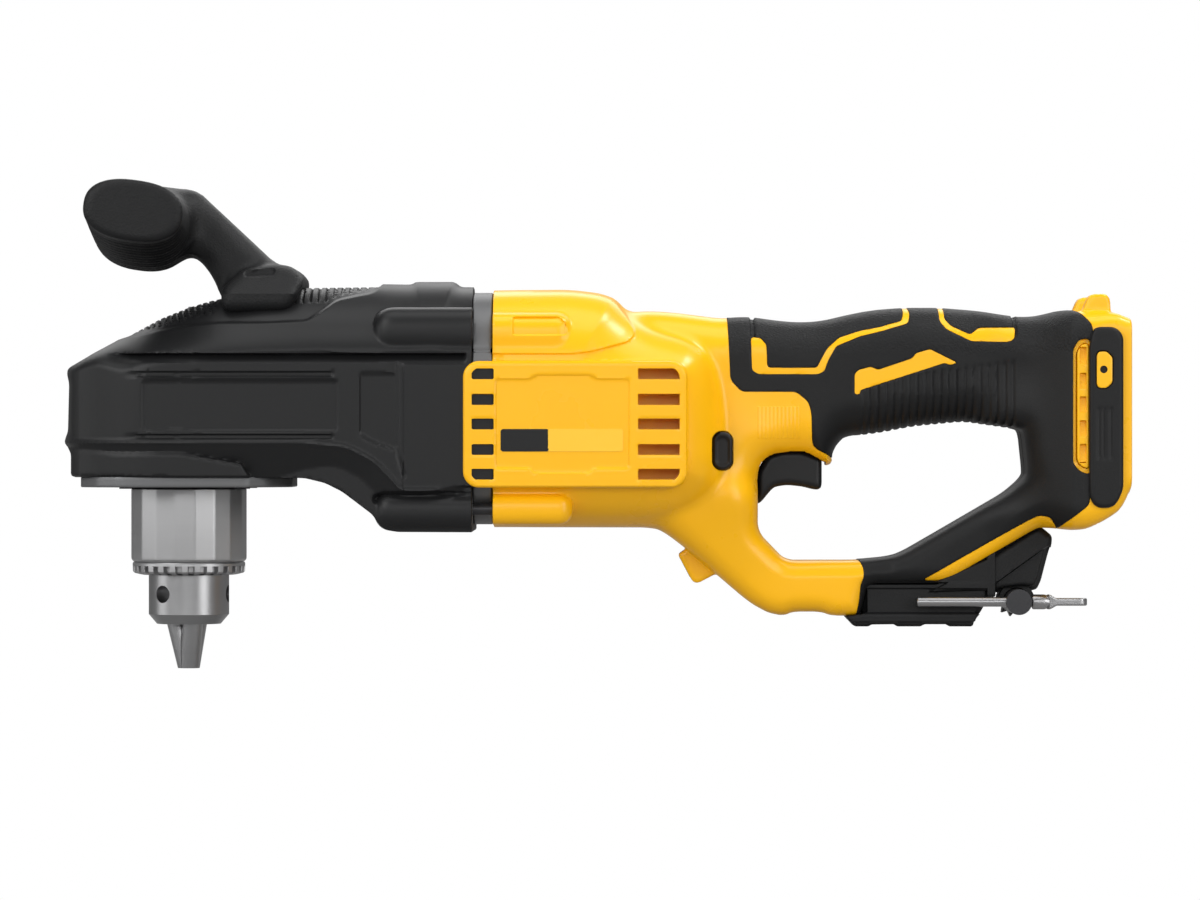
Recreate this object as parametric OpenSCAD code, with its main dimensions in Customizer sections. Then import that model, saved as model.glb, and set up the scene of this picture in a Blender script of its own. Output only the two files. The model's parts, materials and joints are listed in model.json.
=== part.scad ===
// Cordless right angle drill: keyed chuck, bevel gear head, T shaped top handle,
// brushless motor, D shaped rear handle and a slide-on battery foot.
// The origin is at the tips of the closed jaws on the spindle axis. +Z runs up the
// spindle, +X runs back along the motor to the battery foot, and Y is the width.

/* [Chuck] */
// Outside diameter of the fluted chuck sleeve
sleeve_d = 48; // [47:0.5:52]
// Flats around the sleeve
sleeve_flats = 18; // [14:1:24]
// Teeth of the ring gear on the sleeve
ring_teeth = 28; // [20:1:36]
// Height of the ring gear
ring_h = 5.4; // [4.5:0.1:6]
// Diameter of the chuck nose
nose_d = 33.4; // [33:0.1:36]
// Length of the chuck body
chuck_len = 56.1; // [55:0.1:62]
// How far the closed jaws stand out of the nose
jaw_reach = 18.5; // [16:0.5:20]
// Diameter of one jaw
jaw_d = 8.6; // [8:0.1:9]
// Slope of the jaws to the spindle axis, in degrees
jaw_angle = 14; // [13:0.25:14.5]
// Length of one jaw along its own axis
jaw_len = 45.5; // [44:0.5:46]
// Travel of a jaw along its own axis
jaw_travel = 22.7; // [15:0.1:23]
// Radius of the thinnest shank that the closed jaws hold
clamp_r = 0.75; // [0.5:0.05:1]
// Diameter of the chuck key holes
key_hole_d = 7.2; // [6:0.1:8]

/* [Gear train] */
// Module of the spur gears
spur_module = 0.9; // [0.85:0.01:0.92]
// Teeth of the motor pinion
spur_pinion_teeth = 10; // [10:1:11]
// Teeth of the spur gear
spur_gear_teeth = 40; // [38:1:41]
// Face width of the spur gear
spur_face = 10; // [8:0.5:11]
// Module of the bevel gears at their outer ends
bevel_module = 1.6; // [1.5:0.05:1.65]
// Teeth of the bevel pinion
bevel_pinion_teeth = 11; // [11:1:12]
// Teeth of the bevel gear
bevel_gear_teeth = 33; // [31:1:34]
// Face width of the bevel gears
bevel_face = 8; // [6:0.5:9]
// How much each tooth is thinned for backlash
backlash = 0.14; // [0.1:0.01:0.25]

/* [Gear head] */
// Width of the gear head jacket
head_w = 88; // [86:1:100]
// Wall of the jacket
jacket_wall = 3; // [2:0.25:4]
// Radius of the gear case round the spindle
case_r = 38; // [36:0.5:40]
// Thickness of the spindle bearing plate
plate_t = 3.6; // [3:0.1:5]
// Height of the pinion axis above the bearing plate
shaft_h = 51.5; // [50:0.25:53]
// Distance from the spindle axis to the front of the gear bell
bell_x = 84; // [80:1:86]
// Distance from the spindle axis to the rear of the gear case
case_rear_x = 119; // [118:1:125]
// Thickness of the motor end plate
end_plate_t = 8; // [8:0.25:10]
// Diameter of the spindle in its lower bearing
spindle_d = 15; // [14:0.5:16]
// Diameter of the pinion shaft
pinion_shaft_d = 12; // [10:0.5:12]

/* [Motor] */
// Diameter of the stator
stator_d = 66; // [60:1:72]
// Length of the stator
stator_l = 26; // [20:1:30]
// Diameter of the rotor
rotor_d = 32; // [28:1:34]
// Diameter of the motor shaft
motor_shaft_d = 8; // [7.5:0.25:8.5]
// Diameter of the cooling fan
fan_d = 68; // [60:1:76]

/* [Housing] */
// Width of the motor barrel
barrel_w = 90; // [89:1:100]
// Height of the motor barrel
barrel_h = 96.6; // [94:0.2:104]
// Wall of the housing shells
wall = 2.6; // [2:0.1:3]
// Length of the housing from the end plate to the battery face
housing_len = 262.5; // [260:0.5:280]
// How far the vented side panel stands out from the barrel's flank
panel_proud = 2.2; // [1.8:0.1:5]
// Width of the battery foot
foot_w = 77; // [74:1:90]
// Diameter of the long screws that hold the gear case
case_screw_d = 5; // [4:0.25:5]

/* [Rear handle] */
// Width of the grip
grip_w = 39; // [36:0.5:46]
// Width of the lower bar and strut
bar_w = 34; // [32:0.5:42]
// Thickness of the rubber cover
cover_t = 1.4; // [1:0.1:2]
// Width of the trigger
trigger_w = 18; // [14:0.5:20]
// Travel of the trigger
trigger_travel = 6.5; // [3:0.25:7]
// Travel of the direction button to each side
button_travel = 2.5; // [1:0.25:3]

/* [Top handle] */
// Length of the cross bar
cross_len = 114; // [100:1:130]
// Depth of the cross bar from front to back
cross_d = 40.6; // [36:0.2:44]
// Width of the arm
arm_w = 24; // [20:0.5:28]

/* [Chuck key] */
// Diameter of the key's shank
key_shank_d = 10.6; // [9:0.2:11]
// Diameter of the key's cross bar
key_bar_d = 4.6; // [4:0.1:5]
// Length of the key's cross bar
key_bar_len = 69; // [60:0.5:80]
// Width of the rubber key holder
holder_w = 28; // [24:0.5:32]

/* [Hidden] */

// Gaps between pieces
run_gap = 0.05;
seat_gap = 0.02;
free_gap = 0.3;
far = 300;
hull_fn = 24;
skin_n = 20;
room_n = 12;
hole_n = 12;

// Heights up the spindle axis from the jaw tips
jaw_r0 = 0.2;
jaw_gap = 0.15;
jaw_phase = -67;
jaw_bite = 16;
nose_z = jaw_reach;
nose_chamfer = 3.4;
ring_z = nose_z + 20.5;
nut_z = ring_z + 1.2;
nut_h = 6.6;
nut_wall_r = 20.4;
rear_z = nut_z + nut_h + 0.4;
rear_r = 21.6;
chuck_top_z = nose_z + chuck_len;
socket_z = chuck_top_z - 19.6;
shank_r = 6.8;
shank_top_z = socket_z - 5;
key_hole_z = nose_z + 12.5;
key_hole_floor_r = 8;
plate_z = chuck_top_z + 0.8;
case_z = plate_z + plate_t;
pinion_z = case_z + shaft_h;
spur_rp1 = spur_module * spur_pinion_teeth / 2;
spur_rp2 = spur_module * spur_gear_teeth / 2;
motor_z = pinion_z - spur_rp1 - spur_rp2;

// Gear proportions
pressure = 25;
stub = 0.8;
root_depth = 1.05;
bevel_rp1 = bevel_module * bevel_pinion_teeth / 2;
bevel_rp2 = bevel_module * bevel_gear_teeth / 2;
cone_r = sqrt(bevel_rp1 * bevel_rp1 + bevel_rp2 * bevel_rp2);
inner_scale = (cone_r - bevel_face) / cone_r;

// Gear case places
crown_r = 14.5;
crown_top = shaft_h + 11.5;
crown_base_r = 29;
cavity_r = case_r - 8.5;
cavity_top = shaft_h - 5;
shoulder_h = shaft_h - 12.5;
neck_r = 20;
bearing_r = 14;
bearing_w = 8;
upper_bearing_z = pinion_z + 1.5;
upper_bearing_r = 11;
upper_bearing_w = 7;
upper_journal_r = 4;
upper_journal_z = pinion_z - 3.5;
pinion_room_x = crown_r + 2;
lower_bearing_z = case_z + 1.5;
lower_bearing_r = 17.5;
lower_bearing_w = 11;
pinion_bore_r = 13;
front_bearing_x = bevel_rp2 + 8;
rear_bearing_x = bell_x;
spur_x = case_rear_x - 16;
spur_room = 2.5;
chamber_x = bell_x + 12;
bell_w = barrel_w - 8;
bell_h = barrel_h - 3.6;
motor_front_x = case_rear_x + end_plate_t;
case_screw_y = barrel_w / 2 - 8;
upper_screw_share = 30.8 / 96.6;
case_screw_up = barrel_h * upper_screw_share;
case_screw_low = 6.8 - barrel_h / 2;
lug_r = 5.5;
plate_screw_r = (case_r + cavity_r) / 2;
plate_screw_d = 3.2;
handle_bolt_x = 32;
handle_bolt_y = 13;
handle_bolt_d = 6;

// Motor places, measured along X from the end plate
fan_u = 3;
fan_l = 10;
stator_u = 23;
winding_l = 7;
board_t = 1.6;
board_u = stator_u + stator_l + winding_l + 0.3;
rear_bearing_u = 65;
rear_bearing_r = 9.5;
rear_bearing_w = 6;
motor_bearing_r = 11;
motor_bearing_w = 7;
air_gap = 0.5;

// Housing stations: [lower point, upper point, half width, roundness], with points as
// [distance behind the end plate, height above the motor axis]
bw = barrel_w / 2;
bh = barrel_h / 2;
gw = grip_w / 2;
sw = bar_w / 2;
fw = foot_w / 2;
hl = housing_len;
BARREL = [
  [[0, -bh], [0, bh], bw, 3.2], [[46, -bh], [46, bh], bw, 3.2],
  [[53, -bh], [53, bh - 6], bw, 3.2], [[65, -bh], [65, bh - 8], bw - 1, 3],
  [[76, 2 - bh], [76, bh - 8.4], bw - 4, 2.8], [[86, 10 - bh], [86, bh - 9.6], bw - 12, 2.6],
  [[98, 24 - bh], [98, bh - 9.6], gw + 2.5, 2.5]];
GRIP = [
  [[98, 23 - bh], [98, bh - 9.6], gw + 2.5, 2.5], [[109, -22], [109, 37.8], gw + 1.5, 2.5],
  [[120, -18.4], [120, 36.2], gw + 0.5, 2.5], [[130, -14.7], [130, 35.6], gw, 2.5],
  [[140, -12], [140, 37], gw - 0.5, 2.4], [[152, -10.8], [152, 39.9], gw, 2.3],
  [[166, -8.8], [166, 41.6], gw + 0.5, 2.3], [[185, -6.1], [185, 41.8], gw + 1, 2.3],
  [[200, -5.5], [200, 40.5], gw + 1.5, 2.4], [[hl - 47.5, -8.4], [hl - 47.5, 38.2], gw + 4, 2.6],
  [[hl - 36.5, -13], [hl - 36.5, 38.3], gw + 9, 3]];
POST = [
  [[62.7, 3.6 - bh], [109.6, -20.4], bw - 13.6, 3], [[70.4, -50.9], [109.6, -38], gw + 9, 3],
  [[80, -58.2], [109.6, -46.3], gw + 3.5, 2.8], [[92.7, -69], [110, -51.3], gw + 0.5, 2.8],
  [[105.4, -79.9], [114.2, -56.8], gw - 1, 2.8], [[114.2, -84.7], [121.3, -63], sw + 0.5, 3],
  [[123.3, -85], [127.5, -63], sw, 3]];
STRUT = [
  [[123.3, -85], [127.5, -63], sw, 3], [[140, -85], [140, -63], sw, 3],
  [[153.3, -84.3], [153.3, -62.8], sw, 3], [[160.8, -76.3], [160, -62.2], sw, 3],
  [[176.7, -74.7], [168.3, -60.5], sw - 0.5, 2.8], [[188, -67.6], [179.6, -54.7], sw - 0.5, 2.8],
  [[204.6, -57.6], [196.3, -45], sw + 0.4, 2.75],
  [[hl - 39.2, -46.8], [hl - 49.6, -35], sw + 3, 3],
  [[hl - 28.1, -49.5], [hl - 41.4, -28.6], sw + 10.7, 3.4]];
// Post and strut as one leg
LEG = concat(POST, [for (i = [1 : len(STRUT) - 1]) STRUT[i]]);
FOOT = [
  [[hl - 41.5, -38], [hl - 41.5, 37.5], fw - 11.5, 3.5],
  [[hl - 33.5, -47.2], [hl - 33.5, 38.8], fw - 5.5, 5], [[hl - 26.5, -50], [hl - 26.5, 40.3], fw, 8],
  [[hl - 15.8, -48.8], [hl - 15.8, 39.9], fw, 10], [[hl - 7.5, -44.1], [hl - 7.5, 39.5], fw, 10],
  [[hl - 3.5, -40.5], [hl - 3.5, 38.7], fw, 10], [[hl, -31.8], [hl, 31.6], fw, 10]];
bay_floor_u = hl - 15.5;
bay_floor_t = 3;
FOOT_ROOM = [
  [[hl - 41.2, -37.6], [hl - 41.2, 37.3], fw - 11.8, 3.5],
  [[hl - 33, -47], [hl - 33, 38.7], fw - 5.8, 5], [[hl - 26.5, -50], [hl - 26.5, 40.3], fw, 8],
  [[bay_floor_u - bay_floor_t, -48.8], [bay_floor_u - bay_floor_t, 39.9], fw, 10]];
// Outline of the rubber covered area, in the same plane
COVER_AREA = [
  [97, 60], [98.3, 12], [102.9, 7], [125.8, 7], [130.8, 2.8], [132.5, -14.3], [137.5, -26],
  [154.6, -38], [154.6, -100], [hl - 20, -100], [hl - 20, 60]];

// Vented side panel
panel_u = [-12.5, 80.5];
panel_w = [-32.8, 19.9];
panel_corner = 6.7;
vent_rows = 5;
vent_pitch = 10.4;
vent_h = 4.5;
vent_front_u = [-9.3, 0];
vent_rear_u = [60, 77.9];
case_boss_up_r = 8.8;
case_boss_low_r = 6.5;
case_boss_len = 32;

// Trigger, switch and button places
TRIGGER_SIDE = [
  [109.6, -39.7], [109.6, -26.8], [113.8, -20], [120, -18.8], [128.3, -19.3], [136.7, -23],
  [136.7, -32.2], [134.2, -33.8], [128.3, -32.4], [122, -31.8], [116.3, -33], [113.8, -36],
  [111.3, -39]];
trigger_u = [109.6, 136.7];
trigger_top_w = -18.8;
trigger_low_w = -39.7;
stem_u = 122;
stem_r = 4;
switch_u = [111, 138];
switch_w = [-8, 26];
switch_y = 11;
stem_top_w = switch_w[0] + 9;
button_u = 95.3;
button_w = -17.5;
button_r = 4.2;
button_h = 15.6;
button_half = gw + 7.5;

// Lower bar, work light and battery bay places
controller_u = [123, 149];
controller_w = [-81, -66.5];
controller_y = 12.5;
LED_BLOCK = [
  [76.7, -60.8], [80, -58.4], [86.3, -58.4], [89.6, -60], [95.3, -64.9], [95.3, -66.3],
  [92.4, -68.7], [85, -72.6], [82.9, -72.2]];
led_u = 79.8;
led_w = -66.5;
led_aim = -118;
led_r = 4;
led_lens_t = 3;
led_board_t = 1.6;
led_block_y = 9;
bay_y = 31;
bay_lip = 3;
bay_lip_t = 3.5;
bay_top_w = 30;
TAB_SIDE = [
  [hl - 18.3, 34], [hl - 18.3, 39.9], [hl - 16.3, 44.5], [hl - 13.3, 47.8], [hl - 8.3, 47.8],
  [hl - 6.3, 46.2], [hl - 5.8, 39.5], [hl - 5.8, 34]];
tab_y = 26;
tab_t = 8;
BUMPER_SIDE = [
  [hl - 15.8, -41.2], [hl - 15.8, 34], [hl - 3.5, 34], [hl - 0.3, 29], [hl - 0.3, -31],
  [hl - 3.4, -40.3], [hl - 6, -41.2]];
bumper_t = 2;
block_t = 6;
block_y = 16;
block_w = [-20, 16];
blade_ys = [-12, -6, 0, 6, 12];
blade_t = 0.8;
blade_l = 4;
blade_h = 20;
// Housing screws, [distance behind the end plate, height above the motor axis]
HOUSING_SCREWS = [
  [92.6, 26.4], [165, 4], [hl - 29.5, 24], [hl - 27.6, -30.4], [109, -68], [172, -67], [84, -42]];
housing_screw_d = 3;
screw_boss_r = 4;
screw_half = 12;
// Route of the power leads from the switch to the battery terminals
LEAD_ROUTE = [
  [switch_u[1], 18], [switch_u[1] + 10, 18], [165, 18], [185, 18], [205, 15], [hl - 42, 10],
  [hl - 30, 6], [bay_floor_u - 8, 4], [bay_floor_u, 4]];
lead_r = 1.6;
lead_y = 4;
lead_sides = 8;

// Gear head stations: [X, lower height, upper height, half width], heights above the plate
hw = head_w / 2;
jr = case_rear_x;
JACKET = [
  [-50.8, 11, 46.4, hw - 31], [-49.4, 2, 47, hw - 25], [-44.6, 1.1, 49, hw - 16],
  [-39, 1, 52, hw - 10.5], [-28, 0.92, 59.3, hw - 4.5], [-15, 0.85, 66, hw - 1],
  [7, 0.8, 72.5, hw], [21, 0.7, 76.5, hw], [48, 0.4, 80.7, hw], [58, -1.7, 80.9, hw],
  [65, -5.3, 81, hw], [jr - 41.3, -15, 81, (hw + bw) / 2], [jr - 36, -20.8, 81, bw],
  [jr - 25, -21.9, 82.2, bw], [jr - 8, -21.9, 82.2, bw], [jr - 2, -21.9, 79.3, bw],
  [jr, -20, 77.5, bw - 1]];
JACKET_ROOM = [
  [-44.3, 1.3, 48.9, hw - 16], [-28.4, 1, 58.8, hw - 5], [-14.6, 0.9, 66, hw - 1.2],
  [21.6, 0.8, 76.3, hw - 0.1], [48.5, 0.4, 80.3, hw], [58.5, -1.5, 80.6, hw], [65.5, -5, 80.7, hw],
  [jr - 41, -14.7, 80.8, (hw + bw) / 2], [jr - 35.5, -20.6, 80.9, bw], [jr + 1, -20.2, 79.5, bw - 1]];
jacket_shoulder = 0.55;
jacket_e_low = 10;
jacket_e_up = 2.3;
jacket_ribs = [-22, 50, 100];
rib_t = 3;
plate_a = 44.6;
plate_b = 41;

// Top handle stations in the plane of symmetry: [lower point, upper point, half width]
ah = arm_w / 2;
ARM = [
  [[-23, 97], [-16, 116], ah - 2], [[-1.3, 97.3], [2.9, 120.2], ah], [[5.8, 89.8], [10.8, 113.1], ah],
  [[11.3, 83], [23.3, 101.4], ah + 0.5], [[17.9, 75.6], [35.8, 89.3], ah + 4]];
cross_x = -18.8;
cross_top = 121.8;
cross_tilt = -8;
// Cross bar stations: [share of half length, share of depth, height]
CROSS = [
  [-1, 0.5, 15], [-0.975, 0.82, 21.5], [-0.93, 0.96, 24.5], [-0.7, 0.99, 28], [-0.35, 1, 33],
  [0, 1, 35.4], [0.35, 1, 33], [0.7, 0.99, 28], [0.93, 0.96, 24.5], [0.975, 0.82, 21.5],
  [1, 0.5, 15]];
core_r = 7;
core_len = cross_len - 16;
core_w = 106;
// Saddle levels: [height, front X, rear X, half width]
SADDLE = [
  [68.9, 19, 41, 33], [72, 16, 44, 33.5], [80, 14.5, 48.3, 30], [86.5, 17, 46, 22], [89.5, 22, 42, 16]];

// Chuck key and its holder
key_u = 217.2;
holder_front_u = 147.2;
holder_knee_u = holder_front_u + 6.2 + (key_u - holder_front_u - 12.5) * 28.4 / 57.5;
HOLDER_SIDE = [
  [holder_front_u, -84.7], [holder_front_u + 2.5, -90.1], [key_u - 16.7, -90.9], [key_u - 13.8, -84.7],
  [key_u + 10.4, -75.5], [key_u + 11.6, -67.6], [key_u + 15, -58], [key_u + 15.4, -52.6],
  [key_u + 9.6, -48.8], [key_u - 6.3, -58], [holder_knee_u, -74.7], [holder_front_u + 6.2, -73.8]];
key_w = -80;
clip_r = 7.6;
clip_half = 9;
key_near = 23;
key_far = 13;
key_head_d = 14;
key_head_l = 8;
key_pilot_d = 6.8;
key_pilot_l = 5;
key_teeth = 11;
key_bar_y = 17.5;
key_bar_front_u = key_u - 41.7;
key_collar_d = 6.2;
key_collar_u = [key_u + 5.8, key_u + 12];
key_tab_t = 3.3;

// Superellipse outline of half sizes a and b
function power(t, e) = abs(t) < 1e-6 ? 0 : sign(t) * pow(abs(t), 2 / e);
function squircle(n, a, b, e) = [for (i = [0 : n - 1])
  [a * power(cos(360 * i / n), e), b * power(sin(360 * i / n), e)]];

// Outline with one roundness below its widest level and another above it
function arch(n, a, low, high, e_low, e_up) = [for (i = [0 : n - 1])
  let (s = sin(360 * i / n), e = s < 0 ? e_low : e_up)
  [a * power(cos(360 * i / n), e), (s < 0 ? low : high) * power(s, e)]];

// Involute of an angle, in degrees
function involute(a) = tan(a) * 180 / PI - a;

// Half angle of a tooth at radius r, in degrees
function half_tooth(r, rp, n) = let (rb = rp * cos(pressure))
  90 / n - backlash / 2 / rp * 180 / PI + involute(pressure) - (r > rb ? involute(acos(rb / r)) : 0);

// Radii down one flank from the base or root circle to the tip
function flank_radii(rp, m) =
  let (r0 = max(rp * cos(pressure), rp - root_depth * m), ra = rp + stub * m)
  [for (k = [0 : 3]) r0 + (ra - r0) * k / 3];

// Polar points [radius, angle] of one tooth from root to root
function tooth_polar(rp, m, n) =
  let (rr = flank_radii(rp, m), rf = rp - root_depth * m - 0.05, ha = half_tooth(rr[0], rp, n))
  concat([[rf, -ha]], [for (r = rr) [r, -half_tooth(r, rp, n)]],
    [for (k = [3 : -1 : 0]) [rr[k], half_tooth(rr[k], rp, n)]], [[rf, ha]]);

// Outline of a spur gear with a tooth on its first axis
function spur_outline(n, m) = [for (i = [0 : n - 1], p = tooth_polar(m * n / 2, m, n))
  p[0] * [cos(p[1] + 360 * i / n), sin(p[1] + 360 * i / n)]];

// One end ring of a bevel gear whose apex is at the origin
function bevel_ring(n, rp, mate_rp, s) =
  let (delta = atan2(rp, mate_rp), rho = rp / cos(delta))
  [for (i = [0 : n - 1], p = tooth_polar(rho, 2 * rp / n, n / cos(delta)))
    let (rise = p[0] - rho, t = p[1] / cos(delta) + 360 * i / n, r = (rp + rise * cos(delta)) * s)
    [r * cos(t), r * sin(t), (mate_rp - rise * sin(delta)) * s]];

// Toothed cone with its apex at the origin and its back towards +Z
module bevel_teeth(n, rp, mate_rp, back, front) {
  outer = bevel_ring(n, rp, mate_rp, 1);
  inner = bevel_ring(n, rp, mate_rp, inner_scale);
  m = len(outer);
  polyhedron(
    points = concat(outer, inner, [[0, 0, back], [0, 0, front]]),
    faces = concat(
      [for (i = [0 : m - 1]) [2 * m, (i + 1) % m, i]],
      [for (i = [0 : m - 1]) [2 * m + 1, m + i, m + (i + 1) % m]],
      [for (i = [0 : m - 1]) [i, (i + 1) % m, m + (i + 1) % m]],
      [for (i = [0 : m - 1]) [i, m + (i + 1) % m, m + i]]));
}

// Place of a point in the housing's own plane
module at_housing(u, w) translate([motor_front_x + u, 0, motor_z + w]) children();
// Cylinder along X
module rod_x(r, x0, x1, n = 64) translate([x0, 0, 0]) rotate([0, 90, 0])
  cylinder(r = r, h = x1 - x0, $fn = n);
// Cylinder along Y
module rod_y(r, y0, y1, n = 32) translate([0, y0, 0]) rotate([-90, 0, 0])
  cylinder(r = r, h = y1 - y0, $fn = n);
// Box between two corners
module block(a, b) translate(a) cube(b - a);
// Side outline in the housing's plane, given a thickness along Y
module side_plate(points, y0, y1) translate([motor_front_x, y1, motor_z]) rotate([90, 0, 0])
  linear_extrude(y1 - y0) polygon(points);
// Outline across the tool, given a thickness along X
module cross_plate(points, x0, x1) translate([x0, 0, 0]) rotate([90, 0, 90])
  linear_extrude(x1 - x0) polygon(points);
// The half of the tool on one side of the plane of symmetry
module half(side) translate([-far, side < 0 ? -far : 0, -far]) cube([3 * far, far, 3 * far]);
// Both sides of the plane of symmetry
module both_sides() {
  children();
  mirror([0, 1, 0]) children();
}

// Ring of points of a loft's section between two points of the plane of symmetry
function section(a, b, half_w, e, grow, n) =
  let (d = (b - a) / norm(b - a), m = (a + b) / 2)
  [for (p = squircle(n, norm(b - a) / 2 + grow, half_w + grow, e))
    [m[0] + d[0] * p[0], p[1], m[1] + d[1] * p[0]]];
// Chain of hulls through a list of rings
module chain(rings) for (i = [0 : len(rings) - 2]) hull()
  polyhedron(points = concat(rings[i], rings[i + 1]), faces = [[for (k = [0 : 2 * len(rings[i]) - 1]) k]]);
// Closed skin through a list of rings that lean along the way
module loft(rings) {
  n = len(rings[0]);
  m = len(rings) - 1;
  polyhedron(
    points = [for (r = rings) each r],
    faces = concat(
      [[for (k = [n - 1 : -1 : 0]) k]],
      [[for (k = [0 : n - 1]) m * n + k]],
      [for (i = [0 : m - 1], k = [0 : n - 1]) [i * n + k, i * n + (k + 1) % n, (i + 1) * n + (k + 1) % n]],
      [for (i = [0 : m - 1], k = [0 : n - 1]) [i * n + k, (i + 1) * n + (k + 1) % n, (i + 1) * n + k]]));
}
// One branch of the housing through its stations
module branch(stations, grow = 0, n = skin_n) at_housing(0, 0)
  chain([for (s = stations) section(s[0], s[1], s[2], s[3], grow, n)]);
module leaning_branch(stations, grow = 0, n = skin_n) at_housing(0, 0)
  loft([for (s = stations) section(s[0], s[1], s[2], s[3], grow, n)]);
// Outside of the whole housing
module housing_form(grow = 0) {
  branch(BARREL, grow);
  branch(GRIP, grow);
  leaning_branch(LEG, grow);
  branch(FOOT, grow);
}
// Inside room of the housing, without its ribs
module housing_room() {
  branch(concat([[[-1, -bh], [-1, bh], bw, 3.2]], BARREL), -wall, room_n);
  branch(GRIP, -wall, room_n);
  leaning_branch(LEG, -wall, room_n);
  branch(FOOT_ROOM, -wall, room_n);
}
// Ribs and screw bosses that stand in the housing's room
module housing_ribs() {
  for (u = [stator_u + 3, stator_u + stator_l - 7]) at_housing(u, 0) block([0, -far, -far], [4, far, far]);
  at_housing(rear_bearing_u - 1, 0) block([0, -25.3, -far], [rear_bearing_w + 0.4, 25.3, far]);
  for (u = [switch_u[0] + 3, switch_u[1] - 5]) at_housing(u, 0) block([0, -far, -20], [2.5, far, far]);
  for (u = [controller_u[0] + 5.3, controller_u[1] - 6.2]) at_housing(u, 0)
    block([0, -far, -far], [2.5, far, controller_w[1] + 4]);
  for (s = HOUSING_SCREWS) at_housing(s[0], s[1]) rod_y(screw_boss_r, -far, far, hole_n);
}
// Rounded plate with five rows of vents at each end
module panel_form() {
  c = panel_corner;
  translate([motor_front_x, 0, motor_z]) hull()
    for (u = [panel_u[0] + c, panel_u[1] - c], w = [panel_w[0] + c, panel_w[1] - c])
      translate([u, 0, w]) rod_y(c, bw - 14, bw + panel_proud, hull_fn);
}
module panel_vents() {
  mid = (panel_w[0] + panel_w[1]) / 2;
  for (i = [0 : vent_rows - 1], span = [vent_front_u, vent_rear_u])
    at_housing(0, mid + (i - (vent_rows - 1) / 2) * vent_pitch)
      block([span[0], bw - 17.4, -vent_h / 2], [span[1], bw + panel_proud + 1, vent_h / 2]);
}
// Room in front of the housing for the end plate and the jacket behind the panel's lip
module panel_front_room() at_housing(0, 0)
  block([panel_u[0] - 1, -bw - free_gap - 0.1, -far], [0, bw + free_gap + 0.1, far]);
module case_screw_places() for (w = [case_screw_up, case_screw_low])
  translate([0, case_screw_y, motor_z + w]) children();
module housing_bosses() {
  translate([0, case_screw_y, motor_z + case_screw_up])
    rod_x(case_boss_up_r, motor_front_x - 1, motor_front_x + case_boss_len, hull_fn);
  translate([0, case_screw_y, motor_z + case_screw_low])
    rod_x(case_boss_low_r, motor_front_x - 1, motor_front_x + case_boss_len, hull_fn);
}
module battery_bay() at_housing(0, 0) {
  block([bay_floor_u, -bay_y, -far], [hl - bay_lip_t, bay_y, bay_top_w]);
  block([bay_floor_u, bay_lip - bay_y, -far], [hl + 5, bay_y - bay_lip, bay_top_w]);
}
// Room that the pieces inside the housing need
module housing_clearances() {
  at_housing(0, 0) {
    rod_x(stator_d / 2 + free_gap, -2, board_u + board_t + 1, 48);
    rod_x(rear_bearing_r + free_gap / 2, rear_bearing_u, rear_bearing_u + rear_bearing_w + 1, hull_fn);
    rod_x(motor_shaft_d / 2 + 2, 0, rear_bearing_u + rear_bearing_w + 3, hole_n);
    block([switch_u[0] - seat_gap, -switch_y - seat_gap, switch_w[0] - seat_gap],
      [switch_u[1] + seat_gap, switch_y + seat_gap, switch_w[1] + seat_gap]);
    block([controller_u[0] - seat_gap, -controller_y - seat_gap, controller_w[0] - seat_gap],
      [controller_u[1] + seat_gap, controller_y + seat_gap, controller_w[1] + seat_gap]);
    block([trigger_u[0] - free_gap, -trigger_w / 2 - free_gap, trigger_low_w - 1],
      [trigger_u[1] + free_gap, trigger_w / 2 + free_gap, trigger_top_w + trigger_travel + free_gap]);
    translate([stem_u, 0, trigger_top_w])
      cylinder(r = stem_r + 1, h = switch_w[0] - trigger_top_w, $fn = hole_n);
  }
  button_form(free_gap, far, hull_fn);
  led_place() translate([0, 0, -led_lens_t / 2 - led_board_t - 0.1])
    cylinder(r = led_r + 0.1, h = 20, $fn = hull_fn);
  for (y = [-lead_y, lead_y]) lead_tube(y, lead_r + 0.4);
  both_sides() case_screw_places() {
    rod_x(case_screw_d / 2 + free_gap, motor_front_x - 2, motor_front_x + case_boss_len - 7, hole_n);
    translate([motor_front_x + case_boss_len, 0, 0]) rod_x(case_screw_d / 2 + 2, -8, 1, hole_n);
  }
  for (s = HOUSING_SCREWS) at_housing(s[0], s[1]) {
    rod_y(housing_screw_d / 2 + 0.2, -screw_half, screw_half, hole_n);
    rod_y(housing_screw_d + 0.4, screw_half - housing_screw_d, far, hole_n);
  }
}
// One clamshell half of the yellow housing
module housing_half(side) color([0.98, 0.72, 0.05]) intersection() {
  half(side);
  difference() {
    union() {
      housing_form();
      both_sides() {
        panel_form();
        housing_bosses();
        side_plate(TAB_SIDE, tab_y - tab_t / 2, tab_y + tab_t / 2);
      }
      side_plate(LED_BLOCK, -led_block_y, led_block_y);
    }
    difference() {
      housing_room();
      housing_ribs();
    }
    both_sides() panel_vents();
    panel_front_room();
    battery_bay();
    housing_clearances();
  }
}
module housing_right() housing_half(-1);
module housing_left() housing_half(1);

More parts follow.
